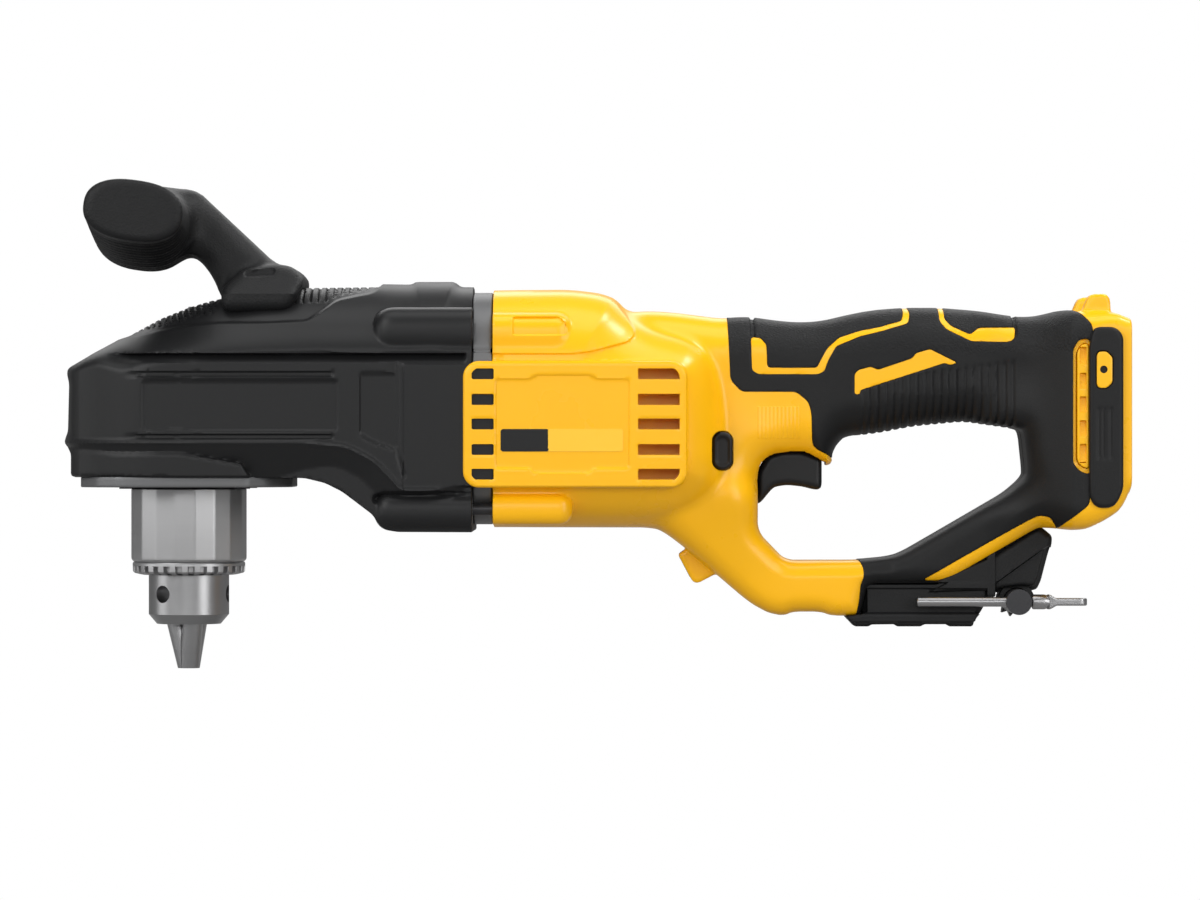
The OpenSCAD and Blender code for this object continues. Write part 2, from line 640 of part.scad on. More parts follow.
// Black rubber cover of one side of the grip, strut and foot
module grip_cover(side) color([0.13, 0.13, 0.14]) intersection() {
  half(side);
  difference() {
    union() {
      branch(GRIP, cover_t);
      leaning_branch(STRUT, cover_t);
      branch(FOOT, cover_t);
    }
    housing_form(run_gap);
    difference() {
      translate([-far, -far, -far]) cube([4 * far, 2 * far, 4 * far]);
      side_plate(COVER_AREA, -far, far);
    }
    at_housing(0, 0) {
      block([trigger_u[0] - 1, -trigger_w, trigger_low_w], [trigger_u[1] + 1, trigger_w, 0]);
      block([bay_floor_u - 1, -far, -far], [hl + 9, far, far]);
    }
    side_plate(HOLDER_SIDE, -holder_w / 2 - free_gap, holder_w / 2 + free_gap);
    for (s = HOUSING_SCREWS) at_housing(s[0], s[1]) rod_y(housing_screw_d + 1, screw_half, far, hole_n);
  }
}
module grip_cover_right() grip_cover(-1);
module grip_cover_left() grip_cover(1);

// Black pad on each flank of the battery foot
module battery_bumper_right() color([0.12, 0.12, 0.13])
  side_plate(BUMPER_SIDE, -fw - run_gap - bumper_t, -fw - run_gap);
module battery_bumper_left() color([0.12, 0.12, 0.13])
  side_plate(BUMPER_SIDE, fw + run_gap, fw + run_gap + bumper_t);

// Outside of the gear case
module gear_case_form(grow = 0, n = 96) {
  back = case_rear_x + 3 * grow;
  translate([0, 0, case_z]) rotate_extrude($fn = n) polygon([
    [0, -40 * grow], [case_r + grow, -40 * grow], [case_r + grow, shoulder_h + grow / 2],
    [crown_base_r + grow, shoulder_h + 13 + grow], [0, shoulder_h + 13 + grow]]);
  translate([0, 0, case_z]) cylinder(r = crown_r + grow, h = crown_top + grow, $fn = n);
  translate([0, 0, pinion_z]) rod_x(neck_r + grow, 0, bell_x + 1, n);
  translate([0, 0, motor_z])
    cross_plate(squircle(40, bell_w / 2 + grow, bell_h / 2 + grow, 3), bell_x - grow, back);
  both_sides() {
    case_screw_places() rod_x(lug_r + grow, bell_x + 8 - grow, back, n / 2);
    block([bell_x + 8 - grow, case_screw_y - 12, motor_z + case_screw_low - lug_r - grow],
      [back, case_screw_y, motor_z + case_screw_low + lug_r + grow]);
  }
}
module gear_case() color([0.55, 0.56, 0.57]) difference() {
  gear_case_form();
  translate([0, 0, case_z - 1]) cylinder(r = cavity_r, h = cavity_top + 1, $fn = 96);
  translate([0, 0, case_z]) cylinder(r = cavity_r - 8.5, h = cavity_top + 2, $fn = 96);
  translate([0, 0, case_z]) cylinder(r = upper_journal_r + 2, h = upper_bearing_z - case_z);
  translate([0, 0, upper_bearing_z]) cylinder(r = upper_bearing_r + seat_gap, h = upper_bearing_w, $fn = 64);
  translate([0, 0, pinion_z]) {
    rod_x(pinion_bore_r, pinion_room_x, front_bearing_x);
    rod_x(bearing_r + seat_gap, front_bearing_x, chamber_x);
    rod_x(spur_rp2 + spur_room, chamber_x, case_rear_x + 1);
  }
  translate([0, 0, motor_z]) rod_x(spur_rp1 + spur_room + 2, chamber_x, case_rear_x + 1);
  both_sides() case_screw_places() rod_x(case_screw_d / 2 + seat_gap, chamber_x, case_rear_x + 1);
  plate_screw_places() translate([0, 0, case_z - 1]) cylinder(d = plate_screw_d + 2 * seat_gap, h = 13);
  both_sides() translate([handle_bolt_x, handle_bolt_y, pinion_z + 9])
    cylinder(d = handle_bolt_d + 2 * seat_gap, h = 20);
}
module plate_screw_places() for (i = [0 : 3])
  rotate(45 + 90 * i) translate([plate_screw_r, 0, 0]) children();

// Ring of points of the jacket at one station
function jacket_section(s, grow) =
  let (level = s[1] + jacket_shoulder * (s[2] - s[1]), n = grow < 0 ? room_n : skin_n + 4)
  [for (p = arch(n, s[3] + grow, level - s[1] + grow, s[2] - level + grow, jacket_e_low, jacket_e_up))
    [s[0], p[0], case_z + level + p[1]]];
module jacket_form(grow = 0, list = JACKET) chain([for (s = list) jacket_section(s, grow)]);
// Black jacket over the gear case
module gear_case_jacket() color([0.15, 0.15, 0.16]) difference() {
  union() {
    jacket_form();
    both_sides() {
      translate([0, case_screw_y, motor_z + case_screw_up]) rod_x(case_boss_up_r, jr - 41, jr + 1, hull_fn);
      translate([0, case_screw_y, motor_z + case_screw_low])
        rod_x(case_boss_low_r, jr - 41, jr + 1, hull_fn);
    }
  }
  difference() {
    jacket_form(-jacket_wall, JACKET_ROOM);
    for (x = jacket_ribs) block([x, -far, 0], [x + rib_t, far, far]);
  }
  gear_case_form(free_gap, hull_fn * 2);
  block([jr, -far, -far], [far, far, far]);
  both_sides() translate([handle_bolt_x, handle_bolt_y, pinion_z])
    cylinder(d = handle_bolt_d + 2 * free_gap, h = 60);
}

// Grey plate that closes the gear case and carries the lower bearing
module spindle_plate() color([0.6, 0.61, 0.62]) difference() {
  union() {
    translate([0, 0, plate_z]) linear_extrude(plate_t) polygon(squircle(48, plate_a, plate_b, 4));
    translate([0, 0, plate_z]) cylinder(r = cavity_r - free_gap, h = plate_t + 3, $fn = 96);
    translate([0, 0, plate_z]) cylinder(r = lower_bearing_r + 4.5, h = plate_t + 12.5, $fn = 64);
  }
  translate([0, 0, lower_bearing_z]) cylinder(r = lower_bearing_r + seat_gap, h = 20, $fn = 64);
  translate([0, 0, plate_z - 1]) cylinder(r = spindle_d / 2 + 3.5, h = 20, $fn = 64);
  plate_screw_places() translate([0, 0, plate_z - 1]) cylinder(d = plate_screw_d + 0.4, h = 20);
}
// Grey collar between the gear case and the motor housing
module motor_end_plate() color([0.5, 0.5, 0.5]) difference() {
  translate([0, 0, motor_z])
    cross_plate(squircle(48, bw - 0.5, bh - 0.3, 3.2), case_rear_x, motor_front_x);
  translate([0, 0, motor_z]) {
    rod_x(motor_bearing_r + seat_gap, case_rear_x + 0.6, motor_front_x + 1);
    rod_x(motor_bearing_r - 3, case_rear_x - 1, motor_front_x);
  }
  both_sides() case_screw_places() rod_x(case_screw_d / 2 + 0.2, case_rear_x - 1, motor_front_x + 1);
}

// Plain ball bearing drawn as one ring
module bearing(r_in, r_out, w) color([0.75, 0.76, 0.78]) difference() {
  cylinder(r = r_out, h = w, $fn = 64);
  translate([0, 0, -1]) cylinder(r = r_in, h = w + 2, $fn = 64);
  for (z = [-1, w - 0.5]) translate([0, 0, z]) difference() {
    cylinder(r = r_in + (r_out - r_in) * 0.7, h = 1.5, $fn = 64);
    translate([0, 0, -1]) cylinder(r = r_in + (r_out - r_in) * 0.3, h = 4, $fn = 64);
  }
}
module front_motor_bearing() translate([case_rear_x + 0.6, 0, motor_z]) rotate([0, 90, 0])
  bearing(motor_shaft_d / 2 + run_gap, motor_bearing_r, motor_bearing_w);
module rear_motor_bearing() at_housing(rear_bearing_u, 0) rotate([0, 90, 0])
  bearing(motor_shaft_d / 2 + run_gap, rear_bearing_r, rear_bearing_w);
module front_pinion_bearing() translate([front_bearing_x, 0, pinion_z]) rotate([0, 90, 0])
  bearing(pinion_shaft_d / 2 + run_gap, bearing_r, bearing_w);
module rear_pinion_bearing() translate([rear_bearing_x, 0, pinion_z]) rotate([0, 90, 0])
  bearing(pinion_shaft_d / 2 + run_gap, bearing_r, bearing_w);
module lower_spindle_bearing() translate([0, 0, lower_bearing_z])
  bearing(spindle_d / 2 + run_gap, lower_bearing_r, lower_bearing_w);
module upper_spindle_bearing() translate([0, 0, upper_bearing_z])
  bearing(upper_journal_r + run_gap, upper_bearing_r, upper_bearing_w);

// Ring of points of the cross bar, flat on top and fuller below in the middle
function cross_section(s) =
  [for (p = squircle(28, s[1] * cross_d / 2, s[2] / 2, 2.4)) [
    cross_x + p[0] * cos(cross_tilt) - p[1] * sin(cross_tilt), s[0] * cross_len / 2,
    case_z + cross_top - s[2] / 2 + p[0] * sin(cross_tilt) + p[1] * cos(cross_tilt)]];
module cross_form() chain([for (s = CROSS) cross_section(s)]);
module arm_form(grow = 0) translate([0, 0, case_z])
  loft([for (s = ARM) section(s[0], s[1], s[2], 2.8, grow, skin_n)]);
function saddle_level(s) = [for (p = squircle(28, (s[2] - s[1]) / 2, s[3], 5))
  [(s[1] + s[2]) / 2 + p[0], p[1], case_z + s[0]]];
module core_form(grow = 0) translate([cross_x, 0, case_z + core_w])
  rod_y(core_r + grow, -core_len / 2 - grow, core_len / 2 + grow);
// Saddle, arm and core of the top handle
module top_handle() color([0.14, 0.14, 0.15]) difference() {
  union() {
    chain([for (s = SADDLE) saddle_level(s)]);
    arm_form();
    core_form();
  }
  jacket_form(free_gap);
  both_sides() translate([handle_bolt_x, handle_bolt_y, case_z]) {
    cylinder(d = handle_bolt_d + 2 * free_gap, h = 200);
    translate([0, 0, 82]) cylinder(d = handle_bolt_d + 5, h = 200);
  }
}
// Rubber grip over the cross bar
module top_handle_grip() color([0.12, 0.12, 0.12]) difference() {
  cross_form();
  core_form(run_gap);
  arm_form(run_gap);
}
// Two socket head bolts that hold the top handle to the gear case
module top_handle_bolts() color([0.2, 0.2, 0.2]) both_sides()
  translate([handle_bolt_x, handle_bolt_y, 0]) difference() {
    union() {
      translate([0, 0, pinion_z + 9.5]) cylinder(d = handle_bolt_d, h = case_z + 82 - pinion_z - 9);
      translate([0, 0, case_z + 82]) cylinder(d = handle_bolt_d + 4, h = 5);
    }
    translate([0, 0, case_z + 84]) cylinder(d = handle_bolt_d - 1, h = 5, $fn = 6);
  }

// Laminated stator ring with six slots
module stator() color([0.35, 0.36, 0.38]) at_housing(stator_u, 0) difference() {
  rod_x(stator_d / 2, 0, stator_l);
  rod_x(rotor_d / 2 + air_gap, -1, stator_l + 1);
  for (i = [0 : 5]) rotate([60 * i, 0, 0]) block([-1, -1.2, 0], [stator_l + 1, 1.2, rotor_d / 2 + 8]);
}
// Copper end turns on both faces of the stator
module stator_windings() color([0.72, 0.4, 0.18]) at_housing(stator_u, 0)
  for (u = [-winding_l, stator_l]) difference() {
    rod_x(stator_d / 2 - 2, u, u + winding_l);
    rod_x(rotor_d / 2 + 3, u - 1, u + winding_l + 1);
  }
module sensor_board() color([0.1, 0.35, 0.2]) at_housing(board_u, 0) difference() {
  rod_x(stator_d / 2 - 3, 0, board_t);
  rod_x(rotor_d / 2 - 3, -1, board_t + 1);
}

module trigger_switch() color([0.2, 0.2, 0.22]) at_housing(0, 0) difference() {
  block([switch_u[0], -switch_y, switch_w[0]], [switch_u[1], switch_y, switch_w[1]]);
  translate([stem_u, 0, switch_w[0] - 1]) cylinder(r = stem_r + run_gap, h = 17, $fn = 48);
}
module controller_module() color([0.16, 0.17, 0.2]) at_housing(0, 0) difference() {
  block([controller_u[0], -controller_y, controller_w[0]],
    [controller_u[1], controller_y, controller_w[1]]);
  for (i = [0 : 5]) translate([controller_u[0] + 3 + 3.6 * i, 0, controller_w[1] - 3])
    block([0, -controller_y - 1, 0], [1.6, controller_y + 1, 4]);
}
module led_place() at_housing(led_u, led_w) rotate([0, led_aim, 0]) children();
module led_lens() color([0.95, 0.97, 1]) led_place() translate([0, 0, -led_lens_t / 2])
  cylinder(r = led_r, h = led_lens_t, $fn = 32);
module led_board() color([0.1, 0.4, 0.2]) led_place() translate([0, 0, -led_lens_t / 2 - led_board_t])
  cylinder(r = led_r, h = led_board_t, $fn = 32);

module terminal_block() color([0.1, 0.1, 0.11]) at_housing(0, 0)
  block([bay_floor_u, -block_y, block_w[0]], [bay_floor_u + block_t, block_y, block_w[1]]);
module terminal_blades() color([0.8, 0.7, 0.4])
  at_housing(bay_floor_u + block_t, (block_w[0] + block_w[1]) / 2)
  for (y = blade_ys) translate([0, y - blade_t / 2, -blade_h / 2]) cube([blade_l, blade_t, blade_h]);

// Points of a tube of radius r along the lead's route
function lead_ring(i, y, r) =
  let (n = len(LEAD_ROUTE) - 1, p = LEAD_ROUTE[i],
    d = LEAD_ROUTE[min(i + 1, n)] - LEAD_ROUTE[max(i - 1, 0)],
    t = i == 0 || i == n ? [1, 0] : d / norm(d))
  [for (k = [0 : lead_sides - 1]) let (c = r * cos(360 * k / lead_sides), s = r * sin(360 * k / lead_sides))
    [p[0] - t[1] * s, y + c, p[1] + t[0] * s]];
module lead_tube(y, r) {
  n = len(LEAD_ROUTE);
  m = lead_sides;
  at_housing(0, 0) polyhedron(
    points = [for (i = [0 : n - 1]) each lead_ring(i, y, r)],
    faces = concat(
      [[for (k = [0 : m - 1]) k]],
      [[for (k = [m - 1 : -1 : 0]) (n - 1) * m + k]],
      [for (i = [0 : n - 2], k = [0 : m - 1]) [i * m + k, (i + 1) * m + k, (i + 1) * m + (k + 1) % m]],
      [for (i = [0 : n - 2], k = [0 : m - 1])
        [i * m + k, (i + 1) * m + (k + 1) % m, i * m + (k + 1) % m]]));
}
module power_lead_red() color([0.7, 0.08, 0.06]) lead_tube(-lead_y, lead_r);
module power_lead_black() color([0.08, 0.08, 0.08]) lead_tube(lead_y, lead_r);

// Rubber holder under the strut with a clip that is open below
module key_holder() color([0.1, 0.1, 0.1]) difference() {
  union() {
    side_plate(HOLDER_SIDE, -holder_w / 2, holder_w / 2);
    at_housing(key_u, key_w) rod_y(clip_r, -clip_half, clip_half);
  }
  housing_form(free_gap);
  at_housing(key_u, key_w) {
    rod_y(key_shank_d / 2 + free_gap, -far, far);
    block([-key_shank_d / 2 - free_gap, -far, -far], [key_shank_d / 2 + free_gap, far, 0]);
    block([key_bar_front_u - key_u - 3, -far, -far],
      [key_collar_u[1] - key_u + 2, -clip_half, key_shank_d / 2 + free_gap]);
    block([-key_head_d / 2 - 1, clip_half, -far], [key_head_d / 2 + 1, far, key_head_d / 2 + free_gap]);
  }
}

module housing_screws() color([0.25, 0.25, 0.27])
  for (s = HOUSING_SCREWS) at_housing(s[0], s[1]) difference() {
  union() {
    rod_y(housing_screw_d / 2, 0.5 - screw_half, screw_half - 2);
    rod_y(housing_screw_d, screw_half - housing_screw_d + 0.1, screw_half);
  }
  rod_y(housing_screw_d / 3, screw_half - 1.5, screw_half + 1);
}
module gear_case_screws() color([0.3, 0.3, 0.32]) both_sides() case_screw_places() {
  rod_x(case_screw_d / 2, chamber_x + 0.5, motor_front_x + case_boss_len - 7.5);
  rod_x(case_screw_d / 2 + 1.5, motor_front_x + case_boss_len - 7.9, motor_front_x + case_boss_len - 4);
}
module plate_screws() color([0.3, 0.3, 0.32]) plate_screw_places() {
  translate([0, 0, plate_z - 0.01]) cylinder(d = plate_screw_d, h = plate_t + 10);
  translate([0, 0, plate_z - 0.6]) cylinder(d = plate_screw_d + 3, h = 0.6);
}

// Spindle with its chuck thread, shoulder and two journals
module spindle() color([0.7, 0.71, 0.73]) difference() {
  union() {
    translate([0, 0, socket_z + 0.2]) cylinder(r = 6.35, h = plate_z - socket_z, $fn = 64);
    translate([0, 0, chuck_top_z])
      cylinder(r = spindle_d / 2 + 3, h = lower_bearing_z - chuck_top_z, $fn = 64);
    translate([0, 0, chuck_top_z]) cylinder(d = spindle_d, h = upper_journal_z - chuck_top_z, $fn = 64);
    translate([0, 0, chuck_top_z])
      cylinder(r = upper_journal_r, h = upper_bearing_z + upper_bearing_w - chuck_top_z - 0.3, $fn = 64);
  }
  translate([0, 0, socket_z - 1]) cylinder(r = 2.5 + seat_gap, h = 13);
}
module bevel_gear() color([0.6, 0.6, 0.62]) difference() {
  union() {
    translate([0, 0, pinion_z]) rotate([180, 0, 0]) rotate(180 / bevel_gear_teeth)
      bevel_teeth(bevel_gear_teeth, bevel_rp2, bevel_rp1, bevel_rp1 + 6, bevel_rp1 - 0.6);
    translate([0, 0, pinion_z - bevel_rp1 - 18]) cylinder(r = spindle_d / 2 + 6, h = 14, $fn = 64);
  }
  translate([0, 0, pinion_z - 60]) cylinder(r = spindle_d / 2 + seat_gap, h = 80, $fn = 64);
}
// Line along which one jaw slides
module jaw_line(i) rotate(jaw_phase + 120 * i)
  translate([jaw_r0, 0, 0]) rotate([0, jaw_angle, 0]) children();
module chuck_body() color([0.72, 0.72, 0.74]) difference() {
  union() {
    translate([0, 0, nose_z]) rotate_extrude($fn = 96) polygon([
      [0, 0], [nose_d / 2 - nose_chamfer, 0], [nose_d / 2, nose_chamfer + 0.6],
      [nose_d / 2, nut_z - nose_z - 0.3], [0, nut_z - nose_z - 0.3]]);
    translate([0, 0, nose_z + 1]) cylinder(r = 13.6, h = chuck_len - 2, $fn = 64);
    translate([0, 0, rear_z]) cylinder(r = rear_r, h = chuck_top_z - rear_z, $fn = 96);
  }
  translate([0, 0, nose_z - 1]) cylinder(r = shank_r, h = shank_top_z - nose_z + 1, $fn = 64);
  translate([0, 0, nose_z]) cylinder(r = 2.6, h = chuck_len);
  translate([0, 0, socket_z]) cylinder(r = 6.35 + seat_gap, h = 40, $fn = 64);
  for (i = [0 : 2]) {
    jaw_line(i) translate([0, 0, 5])
      cylinder(d = jaw_d + 2 * run_gap, h = jaw_len + jaw_travel - 4, $fn = 48);
    rotate(jaw_phase + 60 + 120 * i) translate([key_hole_floor_r, 0, key_hole_z]) rotate([0, 90, 0])
      cylinder(d = key_hole_d, h = 20, $fn = 48);
  }
}
module chuck_screw() color([0.25, 0.25, 0.26]) difference() {
  union() {
    translate([0, 0, shank_top_z - 3.5]) cylinder(r = 4.8, h = 3.5, $fn = 48);
    translate([0, 0, shank_top_z - 1]) cylinder(r = 2.5, h = 16, $fn = 32);
  }
  translate([0, 0, shank_top_z - 4]) cylinder(r = 2, h = 2.5, $fn = 6);
}
// Fluted sleeve with the ring gear on its lower edge
module chuck_sleeve() color([0.75, 0.75, 0.77]) difference() {
  union() {
    intersection() {
      translate([0, 0, ring_z + ring_h])
        cylinder(d = sleeve_d, h = chuck_top_z - 0.5 - ring_z - ring_h, $fn = 96);
      translate([0, 0, ring_z]) linear_extrude(chuck_len)
        polygon([for (i = [0 : sleeve_flats - 1]) (sleeve_d / 2 - 0.3) / cos(180 / sleeve_flats)
          * [cos(360 * i / sleeve_flats), sin(360 * i / sleeve_flats)]]);
    }
    translate([0, 0, ring_z]) cylinder(d = sleeve_d - 1.2, h = ring_h, $fn = 96);
  }
  translate([0, 0, ring_z - 1]) cylinder(r = nose_d / 2 + run_gap, h = 10, $fn = 96);
  translate([0, 0, nut_z]) cylinder(r = nut_wall_r + seat_gap, h = nut_h + 0.4, $fn = 96);
  translate([0, 0, rear_z - 0.3]) cylinder(r = rear_r + run_gap, h = 40, $fn = 96);
  for (i = [0 : ring_teeth - 1]) rotate(360 * i / ring_teeth)
    translate([sleeve_d / 2 - 4, -0.9, ring_z - 1]) cube([8, 1.8, ring_h - 0.8]);
}
// Split nut pressed into the sleeve, round the backs of the jaws
module chuck_nut() color([0.6, 0.6, 0.6]) {
  low_r = jaw_r0 + nut_z * tan(jaw_angle) + jaw_d / 2 / cos(jaw_angle) + 0.35;
  high_r = low_r + nut_h * tan(jaw_angle);
  translate([0, 0, nut_z]) rotate_extrude($fn = 96)
    polygon([[low_r, 0], [nut_wall_r, 0], [nut_wall_r, nut_h], [high_r, nut_h]]);
}
// One sliding jaw with a groove for thin shanks
module jaw(i) color([0.66, 0.67, 0.69]) difference() {
  intersection() {
    jaw_line(i) translate([0, 0, -jaw_d]) cylinder(d = jaw_d, h = jaw_len + jaw_d, $fn = 48);
    rotate(jaw_phase + 120 * i) translate([jaw_gap, 0, 0]) linear_extrude(80)
      polygon([[0, 0], [40, -40 * tan(60)], [40, 40 * tan(60)]]);
  }
  translate([0, 0, -1]) cylinder(r = clamp_r, h = jaw_bite + 1, $fn = 32);
}
module jaw_1() jaw(0);
module jaw_2() jaw(1);
module jaw_3() jaw(2);

// Pinion shaft with the bevel pinion cut on its front end
module pinion_shaft() color([0.62, 0.62, 0.64]) translate([0, 0, pinion_z]) {
  rotate([0, 90, 0])
    bevel_teeth(bevel_pinion_teeth, bevel_rp1, bevel_rp2, bevel_rp2 + 3, bevel_rp2 * inner_scale);
  rod_x(pinion_shaft_d / 2, bevel_rp2 - 2, spur_x + spur_face + 2);
}
module spur_gear() color([0.58, 0.58, 0.6])
  translate([spur_x, 0, pinion_z]) rotate([0, 90, 0]) difference() {
  rotate(180 / spur_gear_teeth) linear_extrude(spur_face)
    polygon(spur_outline(spur_gear_teeth, spur_module));
  translate([0, 0, -1]) cylinder(r = pinion_shaft_d / 2 + seat_gap, h = spur_face + 2, $fn = 64);
}
module motor_pinion() color([0.6, 0.6, 0.62])
  translate([spur_x - 1, 0, motor_z]) rotate([0, 90, 0]) difference() {
  linear_extrude(spur_face + 2) polygon(spur_outline(spur_pinion_teeth, spur_module));
  translate([0, 0, -1]) cylinder(r = 2.2 + seat_gap, h = spur_face + 4, $fn = 48);
}
module motor_shaft() color([0.7, 0.7, 0.72]) translate([0, 0, motor_z]) {
  rod_x(2.2, spur_x - 1, case_rear_x);
  rod_x(motor_shaft_d / 2, spur_x + spur_face + 1.5, motor_front_x + rear_bearing_u + rear_bearing_w);
}
module rotor_core() color([0.3, 0.3, 0.33]) at_housing(stator_u - 1, 0) difference() {
  rod_x(rotor_d / 2, 0, stator_l + 2);
  rod_x(motor_shaft_d / 2 + seat_gap, -1, stator_l + 3);
}
module cooling_fan() color([0.2, 0.2, 0.2]) at_housing(fan_u, 0) difference() {
  union() {
    rod_x(motor_shaft_d / 2 + 4, 0, fan_l);
    rod_x(fan_d / 2, fan_l - 1.6, fan_l);
    for (i = [0 : 10]) rotate([360 * i / 11, 0, 0])
      block([1, -0.8, motor_shaft_d / 2 + 2], [fan_l - 1, 0.8, fan_d / 2 - 1]);
  }
  rod_x(motor_shaft_d / 2 + seat_gap, -1, fan_l + 1);
}

// Trigger with a round stem that runs in the switch
module trigger() color([0.12, 0.12, 0.13]) {
  side_plate(TRIGGER_SIDE, -trigger_w / 2, trigger_w / 2);
  at_housing(stem_u, trigger_top_w - 4) cylinder(r = stem_r, h = stem_top_w - trigger_top_w + 4, $fn = 48);
}
// Oval direction button through the neck
module button_form(grow, half_l, n = 48) at_housing(button_u, button_w) {
  straight = button_h / 2 - button_r;
  block([-button_r - grow, -half_l, -straight], [button_r + grow, half_l, straight]);
  for (w = [-straight, straight]) translate([0, 0, w]) rod_y(button_r + grow, -half_l, half_l, n);
}
module direction_button() color([0.1, 0.1, 0.1]) button_form(0, button_half);

// Chuck key: shank with a toothed head and pilot, and its cross bar
module chuck_key_shank() color([0.13, 0.13, 0.13]) at_housing(key_u, key_w) difference() {
  union() {
    rod_y(key_shank_d / 2, -key_near, key_far);
    translate([0, key_far, 0]) rotate([-90, 0, 0]) linear_extrude(key_head_l) polygon([
      for (i = [0 : 2 * key_teeth - 1]) let (r = key_head_d / 2 - (i % 2) * 2)
        r * [cos(180 * i / key_teeth), sin(180 * i / key_teeth)]]);
    rod_y(key_pilot_d / 2, key_far, key_far + key_head_l + key_pilot_l);
  }
  translate([0, -key_bar_y, 0]) rod_x(key_bar_d / 2 + seat_gap, -20, 20);
}
module chuck_key_bar() color([0.6, 0.6, 0.6]) translate([0, -key_bar_y, 0]) at_housing(0, key_w) {
  rod_x(key_bar_d / 2, key_bar_front_u, key_collar_u[1]);
  rod_x(key_collar_d / 2, key_collar_u[0], key_collar_u[1]);
  block([key_collar_u[1] - 1, -key_collar_d / 2, -key_tab_t / 2],
    [key_bar_front_u + key_bar_len, key_collar_d / 2, key_tab_t / 2]);
}

housing_right();
housing_left();
grip_cover_right();
grip_cover_left();
battery_bumper_right();
battery_bumper_left();
gear_case();
gear_case_jacket();
spindle_plate();
motor_end_plate();
top_handle();
top_handle_grip();
top_handle_bolts();
stator();
stator_windings();
sensor_board();
front_motor_bearing();
rear_motor_bearing();
front_pinion_bearing();
rear_pinion_bearing();
lower_spindle_bearing();
upper_spindle_bearing();
trigger_switch();
controller_module();
led_lens();
led_board();
terminal_block();
terminal_blades();
power_lead_red();
power_lead_black();
key_holder();
housing_screws();
gear_case_screws();
plate_screws();
spindle();
bevel_gear();
chuck_body();
chuck_screw();
chuck_sleeve();
chuck_nut();
jaw_1();
jaw_2();
jaw_3();
pinion_shaft();
spur_gear();
rotor_core();
motor_shaft();
cooling_fan();
motor_pinion();
trigger();
direction_button();
chuck_key_shank();
chuck_key_bar();
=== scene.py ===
import json
import math

import bpy
import numpy as np
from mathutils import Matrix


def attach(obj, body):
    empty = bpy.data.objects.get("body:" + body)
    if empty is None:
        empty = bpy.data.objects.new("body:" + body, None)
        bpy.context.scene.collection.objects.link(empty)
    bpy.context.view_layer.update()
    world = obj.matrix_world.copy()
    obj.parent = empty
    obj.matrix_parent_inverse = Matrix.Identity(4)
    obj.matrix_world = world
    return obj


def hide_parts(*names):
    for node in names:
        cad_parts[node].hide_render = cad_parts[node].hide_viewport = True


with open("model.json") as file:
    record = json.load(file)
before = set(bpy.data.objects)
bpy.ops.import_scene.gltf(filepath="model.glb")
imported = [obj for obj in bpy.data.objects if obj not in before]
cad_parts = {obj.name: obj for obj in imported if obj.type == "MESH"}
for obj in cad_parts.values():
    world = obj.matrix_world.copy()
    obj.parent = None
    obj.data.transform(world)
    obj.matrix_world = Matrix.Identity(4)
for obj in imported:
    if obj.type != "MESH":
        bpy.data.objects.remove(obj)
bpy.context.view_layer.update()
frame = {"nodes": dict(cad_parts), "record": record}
FINE = 1.0

# Shape tools. Lengths are in millimetres until a mesh is made.

# The side view: units to the millimetre, its middle in units and in millimetres, and the viewer's distance
VIEW_SCALE = 2.4
VIEW_MIDDLE = (600, 450)
VIEW_CENTRE = (171.25, 90.8)
VIEW_FAR = 2300

# How far nearer the viewer than the chuck axis these faces lie
HEAD_NEAR = 44
PANEL_NEAR = 46
GRIP_NEAR = 18
FOOT_NEAR = 38
PAD_NEAR = 40


def pic(points, near=0.0):
    """Side view points in millimetres, on the plane that lies near mm closer to the viewer than the chuck
    axis: what is closer looks larger, so the same span stands for less."""
    p = np.array(points, float)
    k = (1 - near / VIEW_FAR) / VIEW_SCALE
    x = VIEW_CENTRE[0] + (p[:, 0] - VIEW_MIDDLE[0]) * k
    return np.stack([x, VIEW_CENTRE[1] + (VIEW_MIDDLE[1] - p[:, 1]) * k], 1)


def soften(points, radius, rounds=2):
    """Closed outline whose corners are cut off in rounds, at up to radius from them, then half of it."""
    p = np.array(points, float)
    for i in range(rounds):
        a, b = np.roll(p, 1, 0), np.roll(p, -1, 0)
        la, lb = (np.linalg.norm(v - p, axis=1, keepdims=True) + 1e-9 for v in (a, b))
        ca, cb = np.minimum(radius / 2 ** i, la / 3), np.minimum(radius / 2 ** i, lb / 3)
        p = np.stack([p + (a - p) * ca / la, p + (b - p) * cb / lb], 1).reshape(-1, 2)
    return p


def polygon_distance(points, a, b, closed=True):
    """Distance from (a, b) to an outline, negative inside a closed one."""
    best, inside = np.full(a.shape, 1e9), np.zeros(a.shape, bool)
    ends = np.roll(points, -1, 0)
    for p, q in zip(points if closed else points[:-1], ends):
        e, va, vb = q - p, a - p[0], b - p[1]
        t = np.clip((va * e[0] + vb * e[1]) / (e @ e + 1e-12), 0, 1)
        best = np.minimum(best, (va - t * e[0]) ** 2 + (vb - t * e[1]) ** 2)
        if p[1] != q[1]:
            inside ^= ((p[1] > b) != (q[1] > b)) & (va < e[0] * vb / e[1])
    return np.where(inside & closed, -1, 1) * np.sqrt(best)


